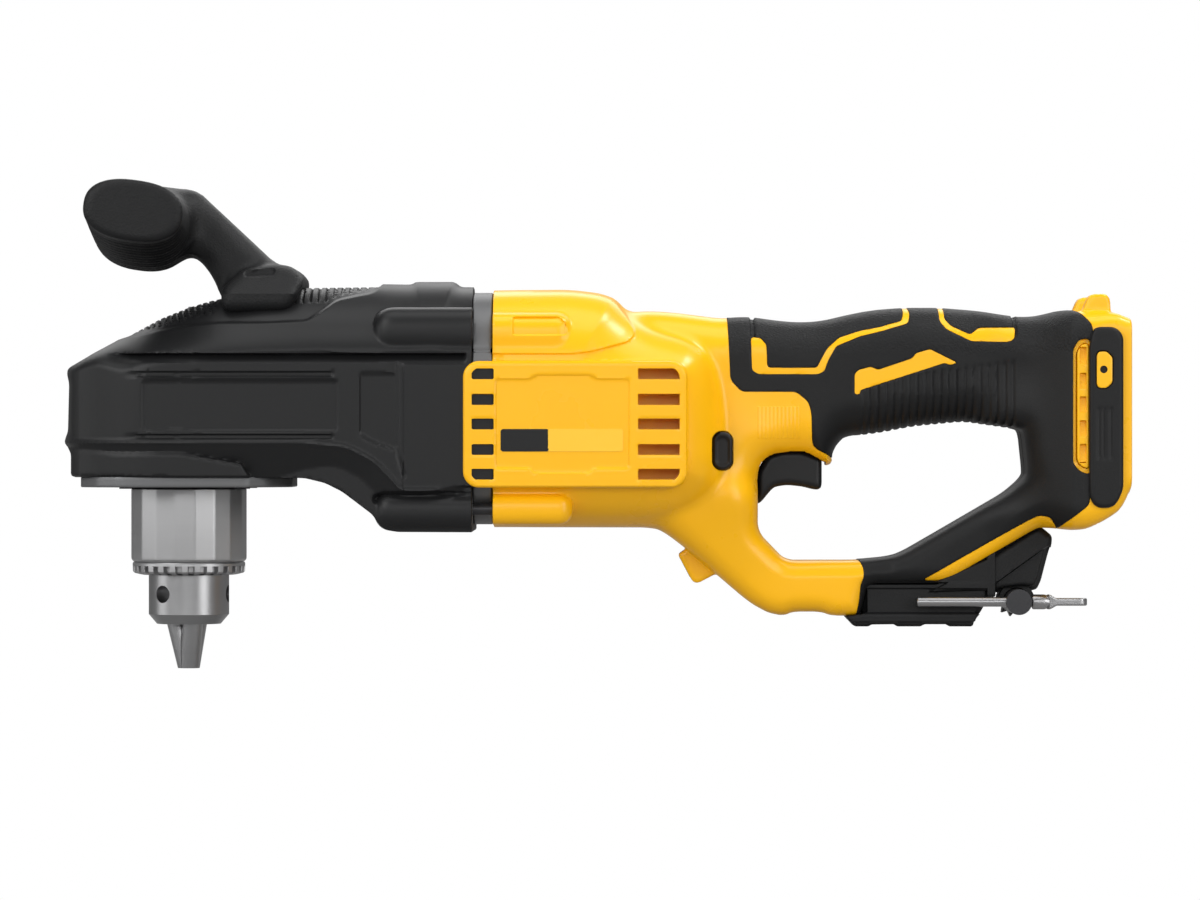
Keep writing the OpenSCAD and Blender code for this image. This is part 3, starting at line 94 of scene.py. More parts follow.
class Field:
    """Values of a function of two lengths on a square grid, read back by straight interpolation."""

    def __init__(self, fn, lo, hi, step=0.5):
        self.lo, self.step = lo, step
        self.n = [int(math.ceil((h - l) / step)) + 2 for l, h in zip(lo, hi)]
        a = (lo[0] + step * np.arange(self.n[0]))[:, None] + np.zeros((1, self.n[1]))
        b = (lo[1] + step * np.arange(self.n[1]))[None, :] + np.zeros((self.n[0], 1))
        self.v = fn(a, b)

    def __call__(self, a, b):
        i = np.clip((a - self.lo[0]) / self.step, 0, self.n[0] - 1.001)
        j = np.clip((b - self.lo[1]) / self.step, 0, self.n[1] - 1.001)
        i, j = np.broadcast_arrays(i, j)
        k, m = i.astype(int), j.astype(int)
        s, t = i - k, j - m
        v = self.v
        return ((1 - s) * ((1 - t) * v[k, m] + t * v[k, m + 1])
                + s * ((1 - t) * v[k + 1, m] + t * v[k + 1, m + 1]))


def outline(points, margin=12, step=0.5):
    """Field of the distance to a closed outline."""
    p = np.array(points)
    return Field(lambda a, b: polygon_distance(p, a, b), p.min(0) - margin, p.max(0) + margin, step)


def side_mark(points, near, cut, margin=6, step=0.35):
    """Field of the distance to a closed side view outline with softened corners."""
    return outline(soften(pic(points, near), cut), margin, step)


def stroke(points, margin=6, step=0.35):
    """Field of the distance to an open line."""
    p = np.array(points)
    return Field(lambda a, b: polygon_distance(p, a, b, False), p.min(0) - margin, p.max(0) + margin, step)


def smin(a, b, k):
    """Smaller of two distances, with the crease filled over a width k."""
    h = np.clip(0.5 + 0.5 * (b - a) / k, 0, 1)
    return b * (1 - h) + a * h - k * h * (1 - h)


def smax(a, b, k):
    """Larger of two distances, with the edge eased over a width k."""
    return -smin(-a, -b, k)


def roundmax(a, b, r, p=2.0):
    """Meeting of two solids whose shared edge is rolled to radius r; p above 2 makes the roll squarer."""
    qa, qb = a + r, b + r
    corner = (np.maximum(qa, 0) ** p + np.maximum(qb, 0) ** p) ** (1 / p)
    return corner - r + np.minimum(np.maximum(qa, qb), 0)


def rounded_rect(a, b, c, h, r):
    """Distance to a rectangle of centre c and half sizes h with corners of radius r."""
    qa, qb = np.abs(a - c[0]) - h[0] + r, np.abs(b - c[1]) - h[1] + r
    return np.hypot(np.maximum(qa, 0), np.maximum(qb, 0)) + np.minimum(np.maximum(qa, qb), 0) - r


def step01(x, width):
    """Smooth rise from 0 to 1 as x goes from -width to +width."""
    t = np.clip(0.5 + 0.5 * x / width, 0, 1)
    return t * t * (3 - 2 * t)


def seam(y):
    """Depth of the fine parting line on the middle plane."""
    return 0.45 * np.exp(-(y / 0.6) ** 2)


PROBE = 0.06  # how far apart contour reads a slope
PULL = 0.08  # how strongly contour keeps a vertex in the middle of its cell


def contour(f, lo, hi, step):
    """Surface where f is zero, f being a function of three lengths: each grid cell that the surface
    crosses gets one vertex, at the point nearest to all its tangent planes, and each crossed grid
    edge joins the four cells round it with a quad."""
    lo, hi = np.array(lo, float), np.array(hi, float)
    step = np.broadcast_to(np.array(step, float), 3)
    n = np.ceil((hi - lo) / step).astype(int) + 1
    ax = [lo[i] + step[i] * np.arange(n[i]) for i in range(3)]
    grid = np.broadcast_to(f(ax[0][:, None, None], ax[1][None, :, None], ax[2][None, None, :]), n)
    cells = n - 1
    total = int(cells.prod())
    inside = grid < 0
    # Sums in each cell: six products of slopes, three of slope and offset, three of place, and the count
    sums = np.zeros((13, total))
    loops = []
    for d in range(3):
        e = np.eye(3, dtype=int)[d]
        cut = [slice(None)] * 3
        cut[d] = slice(0, -1)
        nxt = list(cut)
        nxt[d] = slice(1, None)
        ia = np.stack(np.nonzero(inside[tuple(cut)] != inside[tuple(nxt)]), 1)
        ib = ia + e
        va, vb = grid[tuple(ia.T)], grid[tuple(ib.T)]
        pa, span = lo + ia * step, e * step
        ta, tb = np.zeros(len(ia)), np.ones(len(ia))
        for _ in range(4):
            t = ta + (tb - ta) * va / (va - vb)
            v = f(*(pa + t[:, None] * span).T)
            left = (v < 0) == (va < 0)
            ta, va = np.where(left, t, ta), np.where(left, v, va)
            tb, vb = np.where(left, tb, t), np.where(left, vb, v)
            t = np.where(np.abs(va) < np.abs(vb), ta, tb)
        p = pa + t[:, None] * span
        g = np.stack([f(*(p + PROBE * axis).T) - f(*(p - PROBE * axis).T) for axis in np.eye(3)], 1)
        g /= np.linalg.norm(g, axis=1, keepdims=True) + 1e-12
        u, w = [k for k in range(3) if k != d]
        ring, ok = [], np.ones(len(ia), bool)
        for du, dw in ((0, 0), (-1, 0), (-1, -1), (0, -1)):
            c = ia.copy()
            c[:, u] += du
            c[:, w] += dw
            good = np.all((c >= 0) & (c < cells), 1)
            k = np.ravel_multi_index(np.clip(c, 0, cells - 1).T, cells)
            ring.append(k)
            ok &= good
            gk, pk = g[good], p[good]
            off = np.einsum("ij,ij->i", gk, pk)
            cols = [gk[:, 0] ** 2, gk[:, 1] ** 2, gk[:, 2] ** 2, gk[:, 0] * gk[:, 1], gk[:, 0] * gk[:, 2],
                    gk[:, 1] * gk[:, 2], *(gk.T * off), *pk.T, np.ones(len(pk))]
            for row, col in enumerate(cols):
                sums[row] += np.bincount(k[good], col, total)
        ring = np.stack(ring, 1)[ok]
        flip = inside[tuple(ia.T)][ok] != (d == 1)
        ring[flip] = ring[flip][:, ::-1]
        loops.append(ring)
    quads = np.concatenate(loops)
    used, quads = np.unique(quads, return_inverse=True)
    quads = quads.reshape(-1, 4)
    s = sums[:, used]
    mid = (s[9:12] / s[12]).T
    m = np.empty((len(used), 3, 3))
    for (i, j), row in {(0, 0): 0, (1, 1): 1, (2, 2): 2, (0, 1): 3, (0, 2): 4, (1, 2): 5}.items():
        m[:, i, j] = m[:, j, i] = s[row]
    rhs = s[6:9].T - np.einsum("nij,nj->ni", m, mid)
    x = np.linalg.solve(m + PULL * np.eye(3), rhs[:, :, None])[:, :, 0]
    cell = lo + np.stack(np.unravel_index(used, cells), 1) * step
    return np.clip(mid + x, cell, cell + step), quads[:, ::-1]


def sheet(fn, us, vs, close_u=False, close_v=False):
    """Grid surface: the point fn(u, v) for each pair of parameters, joined into quads."""
    u, v = np.meshgrid(us, vs, indexing="ij")
    p = np.stack(np.broadcast_arrays(*fn(u, v)), -1).reshape(-1, 3)
    nu, nv = len(us), len(vs)
    i, j = (np.arange(n if close else n - 1) for n, close in ((nu, close_u), (nv, close_v)))
    i, j = np.meshgrid(i, j, indexing="ij")
    a, b = (i % nu) * nv, ((i + 1) % nu) * nv
    c, d = j % nv, (j + 1) % nv
    return p, np.stack([a + c, b + c, b + d, a + d], -1).reshape(-1, 4)


def join(*parts):
    """Several surfaces put into one list of points and faces."""
    pts, quads, k = [], [], 0
    for p, q in parts:
        pts.append(p)
        quads.append(q + k)
        k += len(p)
    return np.concatenate(pts), np.concatenate(quads)


def mirrored(surface):
    """The same surface on the other side of the middle plane."""
    p, q = surface
    return p * [1, -1, 1], q[:, ::-1]


def both_sides(near):
    """A surface and its mirror image."""
    return join(near, mirrored(near))


def piece(name, surface, mat, body, nodes=(), angle=38, marks=None):
    """Mesh object made from points in millimetres and quads, riding on a body; marks holds a value for
    each point that a finish can read."""
    p, q = surface
    name = name.replace(" ", "_")
    mesh = bpy.data.meshes.new(name)
    mesh.vertices.add(len(p))
    mesh.vertices.foreach_set("co", (np.asarray(p, float) / 1000).ravel())
    mesh.loops.add(q.size)
    mesh.loops.foreach_set("vertex_index", q.ravel().astype(np.int32))
    mesh.polygons.add(len(q))
    mesh.polygons.foreach_set("loop_start", np.arange(0, q.size, 4, dtype=np.int32))
    mesh.update(calc_edges=True)
    mesh.validate()
    mesh.shade_smooth()
    mesh.set_sharp_from_angle(angle=math.radians(angle))
    if marks is not None:
        mesh.attributes.new("mark", "FLOAT", "POINT").data.foreach_set("value", marks.astype(np.float32))
    mesh.materials.append(mat)
    obj = bpy.data.objects.new(name, mesh)
    bpy.context.scene.collection.objects.link(obj)
    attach(obj, body)
    if nodes:
        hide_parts(*nodes)
    return obj


# Finishes


def finish_node(mat, kind, **sockets):
    """New node of a material with its sockets set."""
    node = mat.node_tree.nodes.new(kind)
    for key, value in sockets.items():
        node.inputs[key.replace("_", " ")].default_value = value
    return node


def finish(name, colour, rough, metal=0.0, vary=0.06, grain=900.0, bump=0.08, depth=0.0001, coat=0.0,
           scuff=0.08, mark_bump=0.0, stretch=(1, 1, 1), ior=1.5, transmission=0.0, spec=0.5):
    """Material whose colour, roughness and relief follow noise in the object's own coordinates."""
    mat = bpy.data.materials.new(name)
    mat.use_nodes = True
    t = mat.node_tree
    shader = t.nodes["Principled BSDF"]
    shader.inputs["Metallic"].default_value = metal
    shader.inputs["Coat Weight"].default_value = coat
    shader.inputs["Coat Roughness"].default_value = 0.2
    shader.inputs["IOR"].default_value = ior
    shader.inputs["Transmission Weight"].default_value = transmission
    shader.inputs["Specular IOR Level"].default_value = spec
    where = t.nodes.new("ShaderNodeTexCoord")
    place = t.nodes.new("ShaderNodeMapping")
    place.inputs["Scale"].default_value = stretch
    t.links.new(where.outputs["Object"], place.inputs["Vector"])
    broad = finish_node(mat, "ShaderNodeTexNoise", Scale=28.0, Detail=4.0, Roughness=0.6)
    fine = finish_node(mat, "ShaderNodeTexNoise", Scale=grain, Detail=2.0, Roughness=0.5)
    for n in (broad, fine):
        t.links.new(place.outputs["Vector"], n.inputs["Vector"])
    # The colour sockets of a mix node are inputs 6 and 7 and output 2
    tint = t.nodes.new("ShaderNodeMix")
    tint.data_type = "RGBA"
    tint.inputs[6].default_value = (*[c * (1 - vary) for c in colour], 1)
    tint.inputs[7].default_value = (*[min(1, c * (1 + vary)) for c in colour], 1)
    t.links.new(broad.outputs["Fac"], tint.inputs[0])
    t.links.new(tint.outputs[2], shader.inputs["Base Color"])
    sheen = t.nodes.new("ShaderNodeMapRange")
    sheen.inputs["To Min"].default_value = max(0.02, rough - scuff)
    sheen.inputs["To Max"].default_value = min(1, rough + scuff)
    t.links.new(broad.outputs["Fac"], sheen.inputs["Value"])
    t.links.new(sheen.outputs["Result"], shader.inputs["Roughness"])
    relief = finish_node(mat, "ShaderNodeBump", Strength=bump, Distance=depth)
    t.links.new(fine.outputs["Fac"], relief.inputs["Height"])
    if mark_bump:
        mark = t.nodes.new("ShaderNodeAttribute")
        mark.attribute_name = "mark"
        rise = t.nodes.new("ShaderNodeMapRange")
        rise.inputs["To Min"].default_value = bump
        rise.inputs["To Max"].default_value = mark_bump
        t.links.new(mark.outputs["Fac"], rise.inputs["Value"])
        t.links.new(rise.outputs["Result"], relief.inputs["Strength"])
    t.links.new(relief.outputs["Normal"], shader.inputs["Normal"])
    return mat


YELLOW = finish("yellow plastic", (0.95, 0.478, 0.004), 0.28, vary=0.02, grain=1400, bump=0.05, scuff=0.03,
                spec=0.36)
PALE = finish("pale label", (0.97, 0.55, 0.03), 0.3, vary=0.02, grain=1400, bump=0.03, scuff=0.03, spec=0.4)
BLACK = finish("black plastic", (0.0088, 0.009, 0.0095), 0.42, vary=0.05, grain=1600, bump=0.1, scuff=0.05,
               spec=0.28)
RUBBER = finish("grip rubber", (0.0075, 0.0077, 0.0081), 0.5, vary=0.05, grain=1250, bump=0.1,
                mark_bump=0.8, depth=0.0005, scuff=0.04, spec=0.24)
ALLOY = finish("cast alloy", (0.15, 0.152, 0.155), 0.5, metal=0.7, grain=1200, bump=0.12)
STEEL = finish("ground steel", (0.36, 0.36, 0.365), 0.32, metal=1.0, vary=0.04, bump=0.08,
               stretch=(1, 1, 8))
DARK = finish("blackened steel", (0.045, 0.045, 0.048), 0.4, metal=0.7)
CHUCK = finish("chuck steel", (0.43, 0.43, 0.435), 0.4, metal=1.0, vary=0.05, bump=0.08, stretch=(1, 1, 12))
LAMS = finish("lamination stack", (0.2, 0.2, 0.21), 0.5, metal=0.8, stretch=(40, 1, 1))
COPPER = finish("enamelled copper", (0.55, 0.2, 0.06), 0.35, metal=0.9, stretch=(1, 20, 20))
BOARD = finish("circuit board", (0.01, 0.09, 0.035), 0.3, coat=0.4)
LENS = finish("clear lens", (0.9, 0.93, 0.96), 0.08, bump=0.02, transmission=0.85, scuff=0.02)
RED = finish("red lead", (0.5, 0.02, 0.02), 0.4)
WIRE = finish("black lead", (0.02, 0.02, 0.02), 0.4)
SLOT_FINISH = {
    "housing_plastic": YELLOW, "black_plastic": BLACK, "grip_rubber": RUBBER, "cast_alloy": ALLOY,
    "steel": STEEL, "dark_steel": DARK, "chuck_steel": CHUCK, "lamination_steel": LAMS,
    "copper_wire": COPPER, "circuit_board": BOARD, "clear_lens": LENS, "red_lead": RED, "black_lead": WIRE}
for sub in frame["record"]["subparts"]:
    node = frame["nodes"][sub["node"]]
    node.data.materials.clear()
    node.data.materials.append(SLOT_FINISH[sub["material_slot"]])

# Yellow housing: side outline with its hand hole, and how wide and how rolled it is at each place

MOTOR_Z = 108.0  # height of the motor's axis
FRONT_X = 127.0  # front face of the housing
BARREL_TOP = [(440, 293), (494, 293), (566, 292), (589, 294), (606, 297), (617.5, 303)]
BODY_SIDE = soften(pic(BARREL_TOP + [
    (623, 313), (650.7, 311.5), (675.6, 313.2), (720, 319), (748, 317.5), (780, 322), (801, 323.4),
    (822, 321.7), (846.5, 315.7), (871, 311), (901.6, 308.6), (938, 308.6), (975, 311.6),
    (1005.7, 316.7), (1024, 318.8), (1042, 315.7), (1054.7, 312), (1071, 312.7), (1080, 313.5),
    (1109, 314), (1119, 319.8), (1160, 329), (1160, 485), (1123.8, 485), (1115.5, 506), (1105.6, 514.7),
    (1085.8, 526), (1072.6, 529.6), (1056, 528.5), (1043, 527), (1034, 528), (990, 556), (948, 581),
    (930, 583), (868, 583), (863, 592), (859, 612), (855.8, 615), (828, 615), (822, 611), (790, 611),
    (785.4, 615), (771.6, 613.5), (761, 609), (747, 600.5), (716.5, 574.5), (686, 548.5), (663, 531),
    (649, 525.5), (494, 525), (440, 525)]), 2.5)
HAND_HOLE = soften(pic([
    (757, 531), (785, 560), (856, 560), (888, 557), (901, 553), (1005, 493), (1024, 477), (1025, 470),
    (1021, 431), (1016, 428), (963, 421), (911.8, 426), (881, 432), (860.8, 434.7), (846.5, 435),
    (838, 441), (832, 451), (831, 457), (832, 462), (827, 466), (822, 464), (802, 455), (782, 454),
    (767, 457), (757, 473)]), 2.2)
BARREL_SIDE = soften(pic(BARREL_TOP + [
    (627, 314), (642, 323), (662, 331), (684, 336), (702, 345), (714, 361), (721, 388), (725, 421),
    (727, 462), (721, 489), (704, 507), (682, 519), (658, 525), (440, 525)]), 2.5)
FOOT_LEVELS = (-40, -27, -14, 0, 13, 26, 36)


def foot_widths(w):
    """Rows of WIDTHS across the foot at one level; its edge is rolled less beside the hand hole."""
    beside = -30 < w < 6
    return [(224, w, 24.5, 10 if beside else 19), (232, w, 32, 9 if beside else 19), (239, w, 42, 12),
            (246, w, 46, 6), (262, w, 46, 6)]


# Distance behind the housing's front, height above the motor, half width, and roll of the edge
WIDTHS = np.array([
    (-20, 0, 27, 18), (20, 0, 27, 18), (46, 0, 27, 18), (62, 0, 27, 18), (74, 0, 26, 18),
    (62, -35, 28, 16), (74, -35, 28, 16), (62, 30, 24, 18), (74, 28, 23.5, 18), (84, -25, 25, 16),
    (84, 0, 23.8, 18), (85, 25, 23, 18), (96, 0, 22, 17), (97, 25, 22.5, 18), (98, -15, 22.3, 15),
    (109, 8, 21, 15), (109, 25, 20.5, 17), (120, 9, 20, 16), (130, 10, 19.5, 17), (140, 12, 19, 17),
    (152, 14, 19.5, 17.5), (166, 16, 20, 18), (185, 18, 20.5, 18), (200, 17.5, 20.5, 18.5),
    (213, 15, 22, 18.5), (85, -38, 29.5, 14), (92, -50, 25, 12), (101, -60, 21.5, 11),
    (110, -68, 18.5, 10), (118, -74, 17.5, 9), (125, -74, 17, 9), (140, -74, 17, 8), (153, -73.5, 17, 8),
    (160, -69, 17, 8), (172, -67.6, 16.5, 8), (184, -61, 16.5, 8), (200, -51, 17.4, 8),
    (216, -42, 20, 8)]
    + [row for w in FOOT_LEVELS for row in foot_widths(w)], float)
HALF_COLUMN, ROLL_COLUMN = 2, 3
FOOT_HALF = 38.4
BARREL_HALF, BARREL_ROLL = 45, 33
HOLE_BEVEL = 6.4


def spread(column, sigma=8.5):
    """Field of one column of WIDTHS: the average of the listed places, weighted by a bell of distance."""
    def fn(a, b):
        num, den = 0, 0
        for row in WIDTHS:
            d = ((a - FRONT_X - row[0]) ** 2 + (b - MOTOR_Z - row[1]) ** 2) / sigma ** 2
            wgt = np.exp(-0.5 * d) + 1e-6 / (1 + d) ** 2
            num, den = num + wgt * row[column], den + wgt
        return num / den
    return Field(fn, (95, 5), (400, 170), 1.0)


body_side = outline(BODY_SIDE, 14)
hand_hole = outline(HAND_HOLE, 14)
barrel_side = outline(BARREL_SIDE, 14)
HOLE_EDGE = side_mark([
    (757, 486), (757, 531), (785, 561), (900, 561), (900, 520), (790, 486)], GRIP_NEAR, 1.5, 14, 0.5)
half_w, roll = spread(HALF_COLUMN), spread(ROLL_COLUMN)


def capsule_x(x, y, z, x0, x1, yc, zc, r, p=2.0):
    """Distance to a rod along X with a round end at x0 and a cut end at x1."""
    dx = np.maximum(x0 + r - x, 0)
    d = (np.abs(np.abs(y) - yc) ** p + np.abs(z - zc) ** p + dx ** p) ** (1 / p) - r
    return np.maximum(d, x - x1)


def body_form(x, y, z):
    """Outside of the whole rear body, covers included: the motor barrel with its round shoulder, and the
    neck, grip, loop and foot, whose edge round the front of the hand hole is bevelled."""
    ay = np.abs(y)
    s = np.maximum(body_side(x, z), -hand_hole(x, z))
    wide = np.minimum(half_w(x, z), FOOT_HALF)
    rest = roundmax(s, ay - wide, roll(x, z), 2.3)
    fall = 0.4 * np.clip(HOLE_BEVEL - HOLE_EDGE(x, z), 0, HOLE_BEVEL) * step01(166 - (x - FRONT_X), 2)
    rest = smax(rest, (ay - wide + fall) * 0.93, 0.7)
    barrel = roundmax(barrel_side(x, z), ay - BARREL_HALF, BARREL_ROLL, 2.1)
    return smin(barrel, rest, 3.0)


# Side view marks on the near flank of the grip and foot
COVER = side_mark([
    (725, 280), (727, 316), (730, 380), (741, 392), (796, 392), (808, 402), (811, 413), (812, 443),
    (815, 448.5), (830, 456), (845, 470), (850, 548), (857.5, 559), (863, 566), (864, 577), (860.7, 584),
    (859, 603), (856, 616), (856, 650), (1000, 650), (1047, 528), (1056, 529), (1062, 523), (1085, 505),
    (1089, 480), (1090, 340), (1088, 325), (1078, 314), (1070, 309),
    (1070, 280)], GRIP_NEAR, 1.0, 10, 0.5)
STRIPE = side_mark([
    (751, 338), (752, 370), (758, 374), (818, 374), (824, 371), (828, 360), (836, 346), (860, 336),
    (881, 331), (908, 323), (910, 314), (906, 300), (903, 300), (904, 313), (902, 321), (881, 327),
    (860, 331), (839, 338), (827, 349), (821, 360), (817, 368), (769, 368), (767, 366), (766, 345),
    (760, 338)], GRIP_NEAR, 0.6)
STRIPE_REAR = side_mark([
    (939, 300), (940, 321), (946.5, 329), (971, 341), (1008, 342), (1013, 339), (1014, 328), (979, 328),
    (970, 335), (950.6, 326), (944.5, 319), (943.5, 300)], GRIP_NEAR, 0.6)
BADGE = side_mark([
    (855, 394), (855, 374), (859, 370), (871, 367), (878, 370), (912, 358.6), (916, 353.5), (930, 349.4),
    (956.7, 362.7), (950.6, 364.7), (944.5, 362.7), (860, 390), (860, 394)], 20, 0.5)
STRIPE_LOW = side_mark([
    (923.7, 579.8), (1025, 521.6), (1037, 515.5), (1047.5, 517), (1056, 530), (1052, 534), (1039, 526.5),
    (993, 553), (944, 581.5)], 15, 0.8)

# Vent strip on the foot's flank
VENT_STRIP = side_mark([
    (1073.5, 350), (1079, 340), (1089.5, 339), (1089.5, 474), (1080, 471),
    (1073.5, 463)], FOOT_NEAR, 0.8)
STRIP_FRAME = side_mark([
    (1077, 352), (1081.5, 344), (1089, 343), (1089, 469), (1082, 467), (1077, 461)], FOOT_NEAR, 0.8)
STRIP_ROWS = ((347, 365), (373, 389), (396.5, 412), (420.5, 436), (444, 463))
STRIP_LEFT, STRIP_RIGHT = 1080, 1086.5


def window(x, z, corner, other, near, r):
    """Distance to a rectangle between two side view corners, with its own corners rounded to r."""
    a, b = pic([corner, other], near)
    return rounded_rect(x, z, (a + b) / 2, np.abs(b - a) / 2, r)


def strip_windows(x, z):
    """Distance to the five windows of the foot's vent strip."""
    out = 1e9
    for top, foot in STRIP_ROWS:
        out = np.minimum(out, window(x, z, (STRIP_LEFT, top), (STRIP_RIGHT, foot), FOOT_NEAR, 0.5))
    return out


def cover_mark(x, z):
    """Distance inside (negative) the rubber cover, stripes and badge left out."""
    s = COVER(x, z)
    for left_out in (STRIPE, STRIPE_REAR, BADGE, STRIPE_LOW, VENT_STRIP):
        s = np.maximum(s, -left_out(x, z))
    return s


RIBS_FROM, RIBS_TO, RIB_PITCH = 153, 216, 3.25


def grip_ribs(x, z):
    """Height of the finger ribs on the lower half of the grip, between 0 and 1."""
    u = x - FRONT_X
    on = step01(u - RIBS_FROM, 1.5) * step01(RIBS_TO - u, 1.5)
    on = on * step01(119.5 + (u - 150) * 0.12 - z, 1.5) * step01(z - 90, 2)
    return on * (0.5 + 0.5 * np.cos(2 * np.pi * (u - RIBS_FROM) / RIB_PITCH)) ** 2


# Vent panel on each flank of the motor
PANEL_C = pic([(575, 424.3)], PANEL_NEAR)[0]
PANEL_LONG, PANEL_TALL = 687 - 463, 487.6 - 361
PANEL_H = (PANEL_LONG / (2 * VIEW_SCALE) * 0.98, PANEL_TALL / (2 * VIEW_SCALE) * 0.98)
PANEL_FACE = 47.0
SLOT_ROWS = (373.8, 399.5, 424, 449.5, 474.2)
SLOT_COLUMNS = ((471.6, 493.7), (638, 681))
SLOT_HALF = 5.4


def panel_slots(x, z):
    """Distance to the five rows of vent slots, kept inside the panel's rounded corners."""
    out = 1e9
    for row in SLOT_ROWS:
        for left, right in SLOT_COLUMNS:
            slot = window(x, z, (left, row - SLOT_HALF), (right, row + SLOT_HALF), PANEL_NEAR, 0.7)
            out = np.minimum(out, slot)
    return np.maximum(out, rounded_rect(x, z, PANEL_C, (PANEL_H[0] - 3, PANEL_H[1] - 2.6), 4.5))


panel_field = Field(lambda a, b: rounded_rect(a, b, PANEL_C, PANEL_H, 6.6), (100, 60), (230, 150), 0.4)
slot_field = Field(panel_slots, (100, 60), (230, 150), 0.3)
LUG_PLATE = side_mark([
    (496, 379), (530, 379), (536, 375), (590, 375), (596, 379), (629, 379), (629, 468), (594, 468),
    (588, 473), (536, 473), (530, 468), (496, 468)], PANEL_NEAR, 0.6, 6, 0.4)
HUMP = side_mark([
    (440, 250), (606, 250), (617.5, 303), (626, 314), (636, 331), (630, 341), (592, 351.5), (573, 354),
    (440, 354)], 42, 1.2, 8, 0.4)
BOSS_SEAT = side_mark([
    (513, 317), (559, 317), (566, 324), (566, 335), (513, 335)], HEAD_NEAR, 0.6)
POD = side_mark([
    (678, 554.6), (686, 549), (701, 549), (709, 553), (722.6, 564.5), (722.6, 568), (715.8, 573.7),
    (698, 583), (692.8, 582)], 6, 0.8, 10, 0.5)
TAB = side_mark([
    (1074, 330), (1080.2, 313), (1086.7, 297.6), (1090.6, 294.5), (1103.6, 293.8), (1107.4, 296.8),
    (1109, 300.7), (1109.7, 313.7), (1110, 330)], 24, 0.9, 10, 0.5)
BUTTON_C = pic([(722.6, 450.8)], 26)[0]
# Screw wells: distance behind the housing's front and height above the motor
SCREW_WELLS = ((92.6, 26.4), (165, 4), (233, 24), (234.9, -30.4), (109, -68), (172, -67), (84, -42))
SCREW_WELL_R, SCREW_WELL_FLOOR = 3.6, 12.4
# Screw bosses of the barrel: rear end, distance from the middle plane, height above the motor, radius,
# squareness and blend
BARREL_BOSSES = ((160.4, 36.3, 30.2, 8.9, 2.6, 1.0), (160, 36.3, -41.3, 6.6, 2.4, 1.4))
COVER_SINK = 1.5
HOUSING_END = 262.4
BAY_HALF, BAY_FLOOR, BAY_TOP = 31, 247.5, 30
MOTOR_ROOM_R, MOTOR_ROOM_LENGTH = 38.5, 55


def screw_wells(x, y, z):
    """Distance to the screw wells on the far flank."""
    out = 1e9
    for u, w in SCREW_WELLS:
        well = np.hypot(x - FRONT_X - u, z - MOTOR_Z - w) - SCREW_WELL_R
        out = np.minimum(out, np.maximum(well, SCREW_WELL_FLOOR - y))
    return out


def trigger_pocket(x, y, z):
    """Room above the trigger that it is pulled up into."""
    room = rounded_rect(x - FRONT_X, z - MOTOR_Z, (116, -22.3), (22, 13.7), 2)
    return room + np.maximum(np.abs(y) - 9.6, 0) * 3


def housing(x, y, z):
    """Yellow housing: the rear body sunk under covers and vent strip, with hump, screw bosses, vent panel,
    lamp pod and foot tabs, and with bay, motor room, slots, pockets and wells cut out."""
    u, w, ay = x - FRONT_X, z - MOTOR_Z, np.abs(y)
    f = body_form(x, y, z)
    f = f + COVER_SINK * step01(-cover_mark(x, z) - 0.25, 0.3)
    f = f + COVER_SINK * step01(-VENT_STRIP(x, z), 0.3) + 1.3 * step01(-STRIP_FRAME(x, z), 0.3)
    f = f - 0.9 * step01(-HUMP(x, z), 0.5) * step01(ay - 20, 8)
    for end, off, up, r, square, blend in BARREL_BOSSES:
        f = smin(f, capsule_x(-x, y, z, -end, -FRONT_X, off, MOTOR_Z + up, r, square), blend)
    f = f + 0.8 * step01(-BOSS_SEAT(x, z), 0.35) * step01(ay - 30, 3)
    f = smax(f, 0.3 - u, 0.6)
    plate = roundmax(panel_field(x, z), ay - PANEL_FACE, 1.3)
    plate = np.maximum(plate, np.where(u < 0.2, 45.3, 36) - ay)
    plate = plate + 0.7 * step01(-LUG_PLATE(x, z), 0.35) * step01(ay - 44, 1)
    f = smin(f, plate, 0.9)
    f = smin(f, roundmax(POD(x, z), ay - 9, 1.2), 1.2)
    a, n = lamp_frame(x, z)
    f = np.maximum(f, -np.maximum(rounded_rect(a, y, (0, 0), (4.5, 6.4), 2.0), -n - 1.7))
    f = smin(f, roundmax(TAB(x, z), np.abs(ay - 26) - 4.2, 1.5), 1.5)
    f = roundmax(f, u - HOUSING_END, 1.2)
    bay = np.maximum(np.maximum(ay - BAY_HALF, BAY_FLOOR - u), w - BAY_TOP)
    f = smax(f, -bay, 0.8)
    motor_room = np.maximum(np.hypot(y, w) - MOTOR_ROOM_R, u - MOTOR_ROOM_LENGTH)
    f = np.maximum(f, -motor_room)
    f = smax(f, -np.maximum(slot_field(x, z), 32 - ay), 0.5)
    f = np.maximum(f, -trigger_pocket(x, y, z))
    f = np.maximum(f, -np.maximum(rounded_rect(x, z, BUTTON_C, (4.55, 8.2), 4.2), 15 - ay))
    f = np.maximum(f, -screw_wells(x, y, z))
    return f + seam(y)


LAMP_A, LAMP_B = pic([(678.3, 554.6), (692.8, 582.2)], 6)


def lamp_frame(x, z):
    """Distances along the lamp's front face from its middle, and out of it."""
    t = (LAMP_B - LAMP_A) / np.linalg.norm(LAMP_B - LAMP_A)
    mid = (LAMP_A + LAMP_B) / 2
    return (x - mid[0]) * t[0] + (z - mid[1]) * t[1], (x - mid[0]) * t[1] - (z - mid[1]) * t[0]


def lamp(x, y, z):
    """Lens: a rounded plate that stands a little out of the pod's front face."""
    a, n = lamp_frame(x, z)
    return roundmax(rounded_rect(a, y, (0, 0), (4.3, 6.2), 1.8), np.abs(n + 0.8) - 0.9, 0.35)


BODY_STEP = 0.9 * FINE


